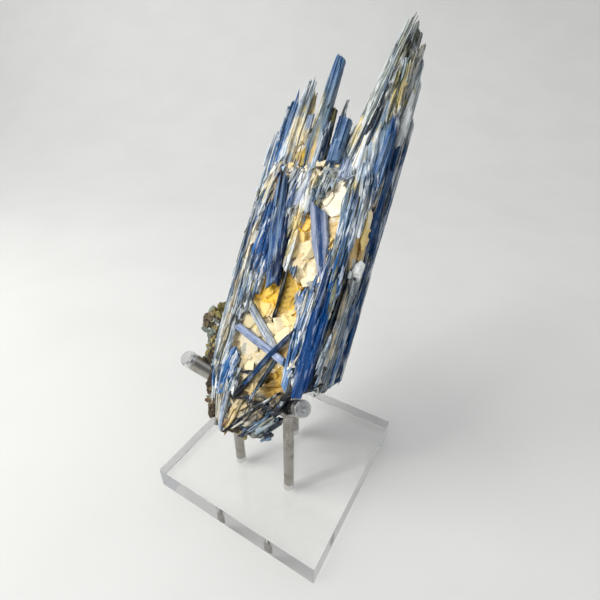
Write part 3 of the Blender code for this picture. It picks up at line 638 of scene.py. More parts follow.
sideLimits = {"flank": 30.4, "flankOut": (-29.0, -2.6), "front": -7.5}   # where the painted sides lie
bladePatches = {
    "front": (   # (across, along, half across, half along, color, strength)
        (-26, 98, 1.8, 13, "deepBlue", 0.9), (-27, 70, 1.6, 10, "steelBlue", 0.6),
        (-23, 145, 2.2, 6, "deepBlue", 0.9), (-21.5, 161, 2.2, 6, "midBlue", 0.9),
        (-11, 100, 7, 24, "deepBlue", 0.6), (-17, 96, 2.4, 14, "midBlue", 0.5),
        (-6, 108, 2.6, 10, "paleGrey", 0.6), (-3, 121, 4, 10, "paleLavender", 0.8),
        (-0.6, 104, 1.8, 16, "paleYellow", 0.8), (0.6, 118, 1.4, 5, "gold", 0.8),
        (-1, 94, 1.4, 8, "olive", 0.6), (-24, 88, 1.6, 16, "cream", 0.6), (-19, 121, 2, 9, "tan", 0.4),
        (-25, 60, 1.6, 12, "tan", 0.35), (-22, 48, 2, 12, "olive", 0.3), (-24.5, 36, 2, 9, "olive", 0.5),
        (-26, 44, 2.6, 16, "beige", 0.5), (-29, 60, 1.8, 14, "paleGrey", 0.5),
        (26, 150, 5, 22, "iceBlue", 0.6), (20.5, 159, 1.8, 5, "deepBlue", 0.9),
        (17, 148, 3, 12, "paleBlue", 0.6), (24, 128, 2, 6, "olive", 0.8),
        (24.5, 127, 0.9, 3.6, "paleYellow", 0.9), (28, 118, 1.6, 6, "brown", 0.7),
        (26, 108, 3, 14, "greyBlue", 0.6), (24, 92, 3, 12, "paleGrey", 0.6),
        (29, 136, 2, 12, "steelBlue", 0.5), (18, 137, 4, 6, "paleLavender", 0.7),
        (31, 176, 2.4, 16, "olive", 0.75), (34, 168, 2.4, 9, "oliveDark", 0.8),
        (37, 150, 2, 10, "white", 0.6), (35, 166, 3, 9, "white", 0.7),
    ),
    "named": (   # the same, over the blades that show one by one
        (-17.5, 157, 2.8, 7, "paleYellow", 0.85), (-14.5, 148, 2.4, 9, "cream", 0.85),
        (-10.5, 166, 2.4, 6, "gold", 0.9), (-20.5, 146, 1.8, 5, "white", 0.6),
        (-12, 139, 2.6, 4, "yellow", 0.8), (-6, 146, 1.2, 12, "yellow", 0.7),
        (-15.5, 168, 1.4, 6, "paleGrey", 0.7), (-23, 160, 1.8, 5, "iceBlue", 0.6),
        (-7, 187, 1.4, 8, "iceBlue", 0.6), (-4.5, 170, 1.2, 12, "greyBlue", 0.6),
        (15.5, 158, 2, 6, "paleYellow", 0.7), (20, 176, 1.6, 14, "greyGreen", 0.5),
        (-6, 190, 3.4, 6, "midBlue", 0.55), (-6.5, 158, 3, 14, "greyGreen", 0.5),
        (24.5, 178, 1.3, 12, "oliveDark", 0.5), (27.5, 186, 1.4, 14, "olive", 0.5),
        (30.5, 178, 1.6, 14, "cream", 0.7), (29, 167, 2, 5, "oliveDark", 0.8),
        (32.5, 188, 1.2, 9, "greyGreen", 0.6), (34, 186, 1.6, 12, "white", 0.7),
        (35, 168, 3.2, 9, "white", 0.9), (26, 196, 1.2, 8, "olive", 0.4),
        (28.6, 204, 1.2, 6, "darkGrey", 0.6), (-22, 160, 1.8, 7, "midBlue", 0.65),
        (-18.5, 150, 3.4, 6, "cream", 0.7), (-24.5, 144, 1.6, 7, "midBlue", 0.6),
        (-17, 122, 3, 8, "paleBlue", 0.5), (-14, 108, 1.6, 8, "paleGrey", 0.4),
        (-5.5, 82, 3.4, 6, "navy", 0.7),
    ),
    "flank": (   # (out, along, half out, half along, color, strength)
        # painted shadow: the black patch at out -3.6 is the shade in the groove at the front edge; painted
        # highlight: the white one at out -13, along 91 is a quartz grain's glint
        (-3.6, 82, 1.6, 26, "black", 0.9), (-9, 108, 5, 16, "tan", 0.9), (-11, 112, 2.4, 12, "cream", 0.8),
        (-13, 91, 4, 4, "white", 0.95), (-9, 125, 3, 8, "brown", 0.5), (-16, 128, 5, 30, "midBlue", 0.7),
        (-24, 120, 4, 40, "deepBlue", 0.6), (-20, 140, 3, 22, "deepBlue", 0.9),
        (-8, 50, 3, 11, "cream", 0.8), (-7, 36, 3, 6, "white", 0.5), (-14, 60, 3, 20, "midBlue", 0.5),
        (-20, 56, 2, 20, "steelBlue", 0.5), (-25, 60, 3, 24, "deepBlue", 0.5),
        (-16, 76, 3, 8, "white", 0.6), (-6, 74, 3, 9, "cream", 0.6), (-11, 66, 3, 10, "paleGrey", 0.6),
        (-6, 150, 3, 14, "royalBlue", 0.6),
    ),
}


def paintNamed(points, colors):
    # patches of cream, gold, olive and white that run over the long blades of the spires
    return blendPatches(colors, points[:, 0], points[:, 1], bladePatches["named"], 91, (0.9, 4.0))


def paintSpread(points, colors, seed):
    # the front and the right side each have their own patches, and the rest has none
    across, along, out = points.T
    frontColors = blendPatches(colors, across, along, bladePatches["front"], seed, (0.9, 4.0))
    flankColors = blendPatches(colors, out, along, bladePatches["flank"], seed, (0.9, 4.0))
    rear, near = sideLimits["flankOut"]
    isFlank = ((across > sideLimits["flank"]) & (out < near) & (out > rear))[:, None]
    isFront = (out > sideLimits["front"])[:, None]
    return np.where(isFlank, flankColors, np.where(isFront, frontColors, colors))


def bladePiece(name, rows, columns, stations, seed, finish, paint, *paintSeed):
    (points, colors, grain), faces = carryBlades(rows, columns, stations, seed)
    colors = paint(points, colors, *paintSeed) if paint else colors
    return makePiece(name, toWorld(points), faces, finish, colors, grain)


zones = (   # (low across, high across, low along, high along, colors, streaks)
    (-50, 50, -30, 230, "greyBlue steelBlue paleBlue paleGrey midBlue greyBlue greyGreen",
     "white steelBlue paleGrey navy darkGrey olive"),
    (-34, -21, 18, 136, "greyBlue paleGrey steelBlue paleBlue paleBlue beige iceBlue",
     "paleGrey cream steelBlue navy white olive"),
    (-21, -5, 76, 133, "midBlue deepBlue deepBlue steelBlue midBlue deepBlue",
     "steelBlue paleBlue navy deepBlue royalBlue"),
    (-17, -5, 118, 133, "paleBlue greyBlue midBlue steelBlue paleGrey", "white deepBlue greyBlue"),
    (-7, 3, 80, 134, "paleGrey white paleYellow greyBlue cream olive greyGreen",
     "olive white darkGrey tan"),
    (12, 31.5, 100, 172, "paleBlue iceBlue greyBlue paleGrey iceBlue greyBlue white paleLavender",
     "white white steelBlue greyBlue midBlue olive"),
    (26, 40, 160, 220, "greyGreen paleGrey olive white paleYellow cream greyBlue paleGrey",
     "white darkGrey oliveDark paleYellow"),
    (10, 24, 20, 100, "paleBlue paleLavender greyBlue midBlue", "white cream deepBlue"),
    (31.2, 40, 20, 92, "steelBlue midBlue white greyBlue paleBlue iceBlue paleGrey deepBlue",
     "white navy paleGrey steelBlue darkGrey"),
    (31.2, 40, 92, 170, "deepBlue midBlue midBlue midBlue paleBlue", "steelBlue deepBlue paleBlue white"),
    (-30, -10, 130, 190, "paleBlue paleGrey midBlue greyBlue iceBlue", "white white olive steelBlue"),
)


def zoneColors(across, along, dice):
    # each blade takes its color and its streak from the last zone that holds its middle
    picks = np.zeros((2, len(across), 3))
    for low, high, foot, top, *names in zones:
        inside = (across > low) & (across < high) & (along > foot) & (along < top)
        for pick, line in zip(picks, names):
            tints = np.array([tint(name) for name in line.split()])
            pick[inside] = tints[dice.integers(0, len(tints), inside.sum())]
    return picks


spreadPlan = {
    # share of the way round, then for each layer: columns, blade length, width, thickness, lift
    "bladesFront": {"share": (0, 0.345), "seed": 21, "layers": (
        (24, (18, 50), (2.6, 6.2), (1.8, 3.2), (-1.3, -0.1)),
        (24, (9, 40), (1.4, 6.4), (1.4, 2.6), (-0.6, 0.7)), (28, (4, 24), (0.8, 3), (0.9, 1.8), (0, 1.2)),
        (22, (2.5, 11), (1, 4), (0.7, 1.5), (0.2, 1.6)))},
    "bladesFlank": {"share": (0.345, 0.5), "seed": 22, "layers": (
        (12, (22, 60), (2.2, 5.4), (1.8, 3.4), (-1.2, 0.4)),
        (14, (10, 42), (1.2, 3.6), (1.2, 2.4), (0, 1.2)), (12, (5, 22), (0.8, 2.4), (0.8, 1.6), (0.8, 1.8)),
        (10, (2.5, 10), (1, 3), (0.7, 1.4), (0.8, 2)))},
    "bladesBack": {"share": (0.5, 0.845), "seed": 23, "layers": (
        (24, (26, 80), (2.8, 7.4), (2.2, 4.2), (-1.2, 1.2)), (28, (14, 56), (1.4, 4.6), (1.4, 3), (0, 1.9)),
        (24, (6, 30), (0.8, 2.6), (0.9, 2), (1, 2.4)))},
    "bladesLeft": {"share": (0.845, 1), "seed": 24, "layers": (
        (11, (22, 66), (2, 5.6), (1.8, 3.4), (-1.2, 0.6)), (13, (10, 44), (1.2, 3.6), (1.2, 2.4), (0, 1.2)),
        (12, (6, 26), (0.8, 2.2), (0.8, 1.6), (0.6, 1.6)))},
}


def layBlades(low, high, plan, isFront, dice):
    # places the blades of one layer: columns side by side, each filled from foot to top with blades
    # that overlap end to end, except in the layer of the shortest, which has gaps
    columns, length, width, thickness, lifts = plan
    draw = dice.uniform
    spans = []
    for column in range(columns):
        share = low + (high - low) * (column + draw(0.0, 1.0)) / columns
        across = perimeterPoint(np.array([share]), np.array([80.0]))[0][0, 0]
        foot, top = reachAt(across)
        if not isFront:
            foot, top = foot + draw(3.0, 12.0), top - draw(0.0, 8.0)
        along = foot + draw(-1.0, 6.0)
        while along < top - 6.0:
            end = min(along + draw(*length), top - draw(-1.0, 4.0))
            spans.append((share, along, end))
            along = end - draw(-1.0, 0.25 * length[0] + 3.0)
            if length[1] < 12.0:
                along = end + draw(0.0, 14.0)
            if end > top - 5.0:
                break
    share, start, end = cutWindows(*np.array(spans).T)
    n = len(share)
    lift = draw(*lifts, n)
    foot, normal = perimeterPoint(share, start)
    swing = np.clip(dice.normal(0.0, 0.03, n), -0.09, 0.09) * (end - start)
    tip = perimeterPoint(share, end)[0] + np.stack((swing * normal[:, 1], -swing * normal[:, 0]), -1)
    middle = perimeterPoint(share, (start + end) / 2)[0]
    bulge = (middle - (foot + tip) / 2) * 0.6
    foot = foot + bulge + normal * lift[:, None]
    tip = tip + bulge + normal * (lift + draw(-0.5, 0.4, n))[:, None]
    base, streak = zoneColors(middle[:, 0], (start + end) / 2, dice)
    base[lift < lifts[0] + 0.3] *= 0.45   # painted shade: the deepest are darkened as if they lay in shadow
    return {
        "foot": np.stack((foot[:, 0], start, foot[:, 1]), -1),
        "tip": np.stack((tip[:, 0], end, tip[:, 1]), -1),
        "width": width[0] + (width[1] - width[0]) * draw(0, 1, n) ** 1.6, "thickness": draw(*thickness, n),
        "turn": np.degrees(np.arctan2(normal[:, 0], normal[:, 1])) + draw(-30, 30, n),
        "slope": draw(0.5, 6.0, n), "taper": draw(0.2, 0.95, n),
        "ragged": np.minimum(draw(0.3, 4.5, n), (end - start) * 0.2), "groove": draw(0.03, 0.25, n),
        "bow": draw(-0.4, 0.4, n), "color": base, "streak": streak,
        "footTaper": draw(0.5, 0.95, n), "zoned": (draw(0, 1, n) > 0.75) * 0.8,
    }


def cutWindows(share, start, end):
    # splits each blade's span where its middle line crosses a window, and keeps parts over 2 mm
    steps, shortest = 60, 2.0
    along = start[:, None] + (end - start)[:, None] * np.linspace(0, 1, steps)
    place = perimeterPoint(np.repeat(share, steps), along.ravel())[0].reshape(*along.shape, 2)
    across, out = place[..., 0], place[..., 1]
    blocked = insideOutline(out, along, flankWindow) & (across > 28.0)
    for outline, _ in windows.values():
        blocked |= insideOutline(across, along, outline) & (out > sideLimits["front"])
    kept = []
    for s, line, closed in zip(share, along, blocked):
        edges = np.flatnonzero(np.diff(np.concatenate(([1], closed.astype(int), [1]))))
        kept += [(s, line[a], line[b - 1]) for a, b in zip(edges[::2], edges[1::2])
                 if line[b - 1] - line[a] > shortest]
    return np.array(kept).T


def spreadBlades(name, plan):
    # layers of overlapping blades up one side, left out where a window is open
    dice = np.random.default_rng(plan["seed"])
    layers = [layBlades(*plan["share"], layer, name == "bladesFront", dice) for layer in plan["layers"]]
    rows = {key: np.concatenate([layer[key] for layer in layers]) for key in layers[0]}
    print(name, len(rows["width"]), "blades")
    return bladePiece(name, rows, 5, 8, plan["seed"], kyaniteFinish, paintSpread, plan["seed"])


# blades that show one by one: foot and tip (across, along, out), width, thickness, turn in degrees,
# slope of the ends, taper, color, streak, and for some the taper of the foot and how far the streak
# keeps to the edges (0 to 1)
deepBlades = {
    "tallBlade": ((-7, 126, -8.4), (-5.7, 194.2, -8), 5.8, 5, 12, 1.6, 0.76, "greyBlue", "paleBlue"),
    "navyBlock": ((8.8, 138.2, -1.8), (8.9, 161, -2.8), 6.8, 6, 10, 1.2, 1, "deepBlue", "paleBlue"),
    "deepBlueLeft": ((-5, 73, -1.2), (-15.4, 129, -1.4), 9, 4.4, 6, 7, 0.12, "deepBlue",
     "paleBlue", 0.75, 0),
    "deepBlueLeftLow": ((-3.6, 75, -1), (-9.4, 112, -1.8), 7, 4.6, -14, 6, 0.5, "deepBlue", "navy", 0.7, 0),
    "deepBlueLeftSide": ((-9.4, 84, -1.6), (-17.2, 122, -1.8), 5.4, 4, 16, 6, 0.5, "midBlue",
     "deepBlue", 0.4, 0),
    "lavenderBlade": ((20.8, 82.5, -2.2), (8.4, 116, -1.4), 9.2, 3.4, 8, 8, 0.95, "deepBlue",
     "paleLavender", 0.25, 1),
    "greatBlade": ((25, 22.4, -1.8), (24.6, 96, -1.6), 8.2, 5.6, 6, 1.2, 0.35, "royalBlue",
     "deepBlue", 0.6, 0.9),
    "greatBladeRight": ((28.2, 29.5, -3.4), (27.6, 112, -1.8), 3.6, 4.6, 18, 5, 0.4, "midBlue",
     "navy", 0.8, 0),
    "crossingBlade": ((14, 37, -0.9), (-18.6, 46.2, -0.7), 4.2, 2.8, 6, 1.5, 0.9, "paleLavender",
     "lavender", 0.92, 0.2),
    "thinDarkBlade": ((-4.4, 18.5, -0.6), (15, 54.8, -0.2), 2.1, 3.2, 10, 1, 0.7, "navy", "midBlue"),
    "thinDarkBladeFoot": ((-9.4, 8.6, -0.9), (0.6, 29, -0.6), 3.9, 3, 0, 3, 0.5, "black", "navy", 0.6, 0),
    "thinDarkBranch": ((-8.6, 23.6, -1), (0, 27, -0.8), 2.2, 2.4, 0, 2, 0.5, "black", "navy", 0.5, 0),
    "ledgeLine": ((-9.6, -10.4, -1), (4.6, 8.8, -0.7), 1.7, 2.4, 8, 1, 0.6, "black", "navy", 0.6, 0),
    "yellowPitBlade": ((0.4, 54, -3.4), (0.2, 88, -2.6), 2, 3.4, 8, 2, 0.6, "black", "navy", 0.5, 0),
    "flankBlue": ((33.6, 98, -25), (32.4, 166, -6), 4, 6, 0, 6, 0.8, "midBlue", "royalBlue"),
    "flankBlueTop": ((31.6, 126, -5), (32.4, 168, -8), 5.4, 4, 48, 8, 0.4, "midBlue", "paleBlue", 0.5, 0),
    "flankBlueBack": ((33, 112, -15), (33.4, 166, -15), 6, 4, 78, 8, 0.4, "midBlue", "deepBlue", 0.5, 0),
}
paleBlades = {
    "tallBladeEdge": ((-9, 140, -7.4), (-8, 191, -7.6), 1.4, 3.4, -30, 3, 0.7, "darkGrey", "steelBlue"),
    "tallBladeSide": ((-8.2, 140, -6.9), (-7.4, 186, -7.1), 2, 3, -20, 3, 0.5, "greyGreen", "paleGrey"),
    "spireEdge": ((14.6, 144, -4.5), (26.2, 213.6, -7), 5.4, 3.6, -12, 4, 0.18, "greyGreen", "white"),
    "spireA": ((19.6, 136, -5), (25.2, 206, -8.5), 5.6, 4.5, 10, 4, 0.6, "navy", "greyBlue"),
    "spireB": ((24.4, 128, -8), (27, 213, -11), 5.5, 4.5, -8, 3, 0.4, "greyGreen", "olive"),
    "spireC": ((28, 122, -12), (28.6, 211.5, -15), 5.4, 5, 14, 3, 0.6, "olive", "paleGrey"),
    "spireD": ((30.8, 116, -16), (30.4, 205, -18), 4.8, 5, -10, 5, 0.7, "cream", "white"),
    "spireE": ((32.4, 112, -20), (31.6, 202, -21), 4.2, 5, 6, 4, 0.7, "white", "paleBlue"),
    "spireF": ((33, 96, -23.5), (32.6, 193, -24), 3.6, 4.6, 0, 4, 0.7, "paleBlue", "darkGrey"),
    "spireDark": ((21.6, 156, -4), (28, 203.5, -7.4), 2.4, 3, 10, 4, 0.4, "navy", "darkGrey"),
    "spireOlive": ((26.4, 158, -7.2), (30, 199, -12), 2.2, 3, -10, 4, 0.4, "oliveDark", "black"),
    "spireCream": ((24.2, 150, -6), (29.6, 194, -10), 2.2, 2.6, 14, 4, 0.4, "cream", "paleYellow"),
    "spireWhite": ((34.2, 153, -13.4), (34.6, 181, -14.2), 5, 3.2, 10, 5, 0.4, "white", "paleGrey"),
    "leftA": ((-19.6, 112, -5.5), (-16.9, 182.2, -6.5), 4.4, 3.6, 12, 3, 0.12, "paleGrey", "iceBlue"),
    "leftB": ((-21.4, 110, -4), (-19.6, 177, -5), 4.8, 3.6, -8, 7, 0.35, "iceBlue", "white"),
    "leftC": ((-24, 108, -4.4), (-23, 171.5, -5.4), 4.8, 3.8, 14, 8, 0.4, "midBlue", "iceBlue"),
    "leftD": ((-26.6, 104, -4), (-26, 166, -5), 4.8, 4.2, -10, 7, 0.5, "midBlue", "greyBlue"),
    "leftE": ((-28.8, 92, -3.6), (-28.2, 149.5, -4.6), 4.8, 4.2, 6, 7, 0.5, "paleBlue", "white"),
    "goldSpike": ((-14.6, 140, -9), (-15.8, 175.5, -9), 4.2, 3, 10, 4, 0.3, "paleYellow", "gold"),
    "paleRecessBlade": ((-14, 126, -7.6), (-14, 163.6, -7.6), 4.2, 3, -6, 1.5, 0.9, "paleLavender",
     "iceBlue"),
    "goldRecessBlade": ((-8, 128, -6), (-10.4, 162, -7.8), 2.6, 2.4, 12, 2.5, 0.5, "paleYellow", "olive"),
    "darkRecessBlade": ((-1.6, 126, -7.6), (-2, 160.5, -7.6), 3.4, 3, -14, 1.5, 0.8, "steelBlue",
     "darkGrey"),
    "oliveNub": ((-3.2, 136, -11.4), (-3.2, 169.5, -11.4), 4.4, 3.8, 16, 1, 0.7, "oliveDark", "olive"),
    "needle": ((3.6, 140, -7), (5.4, 172.5, -7), 1.8, 1.6, 0, 0.5, 0.3, "paleGrey", "darkGrey"),
    "greatBladeLeft": ((21.6, 27.5, -2.8), (21.6, 98, -1.8), 4, 4.6, -16, 4, 0.4, "steelBlue",
     "paleBlue", 0.8, 0),
    "greatBladeTop": ((25.6, 62, -1.8), (26, 124, -0.9), 3.4, 3, -8, 5, 0.4, "deepBlue",
     "paleBlue", 0.4, 0),
    "paleEdgeBlade": ((18, 24, -1.8), (13.6, 76, -2), 4.4, 3.4, -10, 3, 0.4, "paleBlue", "midBlue"),
    "paleEdgeInner": ((17.4, 50, -1.2), (18.4, 84, -1.4), 3, 2.6, 12, 5, 0.3, "iceBlue", "midBlue", 0.4, 0),
    "greyCrossingBlade": ((7, 41, -2.6), (-15, 58.5, -2.3), 5.2, 2.6, -6, 3, 0.8, "paleGrey",
     "paleLavender", 0.9, 0),
    "secondThinBlade": ((1.2, 12, -0.9), (9, 37, -1.1), 2.2, 2.8, -8, 1, 0.8, "darkGrey", "greyBlue"),
    "blueFootBlade": ((-16.8, 8.6, -0.9), (-14.4, 34, -0.9), 9.4, 4, 4, 3, 0.4, "midBlue",
     "steelBlue", 0.5, 0.4),
    "greyFootBlade": ((-11.6, -10, -1.6), (-13.6, 12, -1.2), 4, 4, -6, 2, 0.7, "paleGrey",
     "lavender", 0.5, 0),
    "paleFootBlade": ((-15.4, -5.6, -2.2), (-19.6, 17, -1.8), 4.6, 4.2, 10, 4, 0.6, "beige",
     "greyBlue", 0.5, 0),
    "beigeFootBlade": ((-13.4, -8.4, -2.4), (-16.6, 13, -1.9), 4.4, 4.2, -12, 4, 0.6, "paleGrey",
     "tan", 0.5, 0),
    "ledgeLineUpper": ((0.6, 3.6, -0.8), (17, 22.6, -0.8), 1.6, 2.4, -8, 1, 0.6, "darkGrey",
     "black", 0.6, 0),
    "ledgeLinePale": ((-5, -6.4, -0.9), (9, 10.6, -0.9), 1.3, 1.8, 6, 1, 0.6, "paleGrey", "tan", 0.6, 0),
    "tanFootBlade": ((-9.2, -10.6, -2), (-4, 10, -1.8), 4.2, 3.6, -4, 3, 0.7, "tan", "brown", 0.4, 0),
    "leftEdgeLow": ((-27.4, 22, -3), (-27.8, 76, -3.2), 5, 5, -18, 4, 0.9, "greyBlue", "paleGrey"),
    "leftEdgeMid": ((-28.2, 62, -3.4), (-28, 118, -3.6), 5, 5, 16, 4, 0.9, "steelBlue", "paleGrey"),
    "flankEdge": ((34.2, 90, -26.5), (34.2, 174, -25.5), 3, 4, 0, 5, 0.9, "midBlue", "steelBlue"),
    "flankLow": ((35.4, 31, -26.5), (34.6, 92, -27), 3.6, 5, 0, 4, 0.9, "steelBlue", "midBlue"),
    "flankLowFront": ((32.6, 26.5, -12), (32.6, 80, -13), 4, 6, 0, 4, 0.9, "paleBlue", "white"),
    "flankLowMiddle": ((33.8, 28, -19), (33.6, 74, -19), 4, 6, 0, 5, 0.9, "midBlue", "paleBlue"),
}
rowNames = "foot tip width thickness turn slope taper color streak footTaper zoned".split()


def tableRows(table, groove, ragged, bow):
    # a table of blades as one array for each value
    full = [blade if len(blade) == len(rowNames) else (*blade, 0.92, 0.0) for blade in table]
    rows = dict(zip(rowNames, zip(*full)))
    for key in ("color", "streak"):
        rows[key] = [tint(name) for name in rows[key]]
    rows = {key: np.array(values, float) for key, values in rows.items()}
    return rows | {"groove": np.full(len(full), groove), "ragged": np.full(len(full), ragged),
                   "bow": np.full(len(full), bow)}


def makeHeroes():
    return [bladePiece(name, tableRows(table.values(), 0.14, 0.8, 0.0), 16, 26, seed, finish, paintNamed)
            for name, table, finish, seed in (("bladesDeep", deepBlades, deepKyaniteFinish, 31),
                                              ("bladesNamed", paleBlades, kyaniteFinish, 32))]


splinterPlan = {"perBlade": 7, "shortest": 30.0, "width": (0.7, 2.0), "length": (0.25, 0.7), "seed": 41}


def makeSplinters():
    # thin slivers that lie along the long named blades: each starts part of the way up its blade,
    # beside or in front of it, and stops short of its tip
    plan = splinterPlan
    dice = np.random.default_rng(plan["seed"])
    draw = dice.uniform
    pieces = []
    for name, blades, finish in (("splintersDeep", deepBlades, deepKyaniteFinish),
                                 ("splintersPale", paleBlades, kyaniteFinish)):
        table = []
        for foot, tip, width, thickness, turn, slope, taper, color, streak, *rest in blades.values():
            foot, span = np.array(foot, float), np.array(tip, float) - foot
            if np.linalg.norm(span) < plan["shortest"]:
                continue
            for i in range(plan["perBlade"]):
                start = draw(0.0, 0.7)
                end = min(start + draw(*plan["length"]), 0.985)
                offset = np.array((draw(-0.5, 0.5) * width, 0.0, draw(-0.2, 0.55) * thickness))
                pair = (color, streak) if draw() < 0.5 else (streak, color)
                table.append((foot + span * start + offset, foot + span * end + offset * 0.8,
                              draw(*plan["width"]), draw(0.7, 1.6), draw(-40, 40), draw(0.5, 3.0),
                              draw(0.2, 0.8), *pair))
        pieces.append(bladePiece(name, tableRows(table, 0.08, 1.2, 0.2), 5, 7, 42, finish, paintNamed))
    return pieces


recessPlan = {
    "blades": 52, "seed": 51, "streaks": "white olive steelBlue greyBlue darkGrey",
    "colors": ("paleYellow paleLavender greyBlue cream olive paleGrey iceBlue greyBlue paleBlue white "
               "greyGreen"),
    "tops": ((-21, 164), (-16, 166), (-10, 156), (-4, 158), (4, 152), (13, 152)),   # (across, along)
}


def makeRecess():
    # thin blades standing at the back of the step below the left spires, and behind the notch
    dice = np.random.default_rng(recessPlan["seed"])
    draw = dice.uniform
    table = []
    for i in range(recessPlan["blades"]):
        across = -20.5 + 33.0 * draw() ** 0.7
        out = -5.6 - draw(0.0, 9.0) - 3.0 * (across < -9.0)
        top = np.interp(across, *np.array(recessPlan["tops"]).T) - draw(0, 14)
        table.append(((across, 124.0 + draw(0, 10), out), (across + draw(-1.2, 1.2), top, out),
                      draw(1.4, 3.4), draw(1.4, 3.0), draw(-40, 40), draw(0.5, 4.0), draw(0.3, 0.9),
                      dice.choice(recessPlan["colors"].split()), dice.choice(recessPlan["streaks"].split())))
    return bladePiece("bladesRecess", tableRows(table, 0.12, 2.0, 0.2), 6, 8, 52, kyaniteFinish, paintNamed)


spireFill = {
    "blades": 120, "seed": 55, "streaks": "white darkGrey oliveDark paleYellow white navy",
    "colors": "greyGreen paleGrey white cream darkGrey paleBlue white greyBlue olive iceBlue",
    "tops": ((0.0, 204), (0.2, 210), (0.4, 209), (0.6, 203), (0.8, 198), (1.0, 190)),
}


def makeSpireFill():
    # thin blades that close the bundle of spires, from its left edge (0) to the flank (1)
    dice = np.random.default_rng(spireFill["seed"])
    draw = dice.uniform
    table = []
    for i in range(spireFill["blades"]):
        s = draw()
        across, drift, low, height = 18.5 + 14.0 * s, 6.7 - 6.6 * s, 130.0, 78.0
        foot = np.array((across + draw(-1, 1), draw(128, 168), -5.0 - 18.0 * s + draw(-1.5, 2.5)))
        top = np.interp(s, *np.array(spireFill["tops"]).T) - 38.0 * draw() ** 1.5
        tip = (across + drift * (top - low) / height, top, -5.5 - 18.0 * s - 1.5 + draw(-1.5, 1.5))
        foot[0] += drift * (foot[1] - low) / height
        foot[1] = foot[1] if top - foot[1] >= 12.0 else top - 20.0
        table.append((foot, tip, draw(1.0, 3.0), draw(1.0, 2.6), draw(-50, 50), draw(1.0, 4.0),
                      draw(0.15, 0.7), dice.choice(spireFill["colors"].split()),
                      dice.choice(spireFill["streaks"].split())))
    return bladePiece("spireBlades", tableRows(table, 0.1, 2.0, 0.2), 6, 9, 56, kyaniteFinish, paintNamed)


footPlan = {"sheets": 60, "seed": 61, "run": (0.62, 0.78, 0.0),
            "colors": "greyGreen darkGrey navy greyBlue paleGrey darkGrey",
            "streaks": "paleGrey navy darkGrey beige greyBlue"}


def makeFoot():
    # thin sheets of schist across the lower right of the foot, one over another, running from lower
    # left to upper right
    dice = np.random.default_rng(footPlan["seed"])
    draw = dice.uniform
    table = []
    for i in range(footPlan["sheets"]):
        s = draw()
        middle = np.array((1.5 + 13.5 * s + draw(-1.5, 1.5), -1.5 + 5.0 * s + draw(-3, 3),
                           -2.0 - 5.0 * draw()))
        half = np.array(footPlan["run"]) * (draw(3.5, 11.5) * (1.0 - 0.35 * s))
        color = dice.choice(footPlan["colors"].split())
        table.append((middle - half, middle + half, draw(1.6, 4.2), draw(1.2, 3.2), draw(-30, 30),
                      draw(0.5, 3.0), draw(0.5, 0.9), color, dice.choice(footPlan["streaks"].split())))
    return bladePiece("schistFoot", tableRows(table, 0.1, 1.5, 0.1), 6, 8, 62, deepKyaniteFinish, None)


# ---- lumps of quartz, feldspar and mica ----

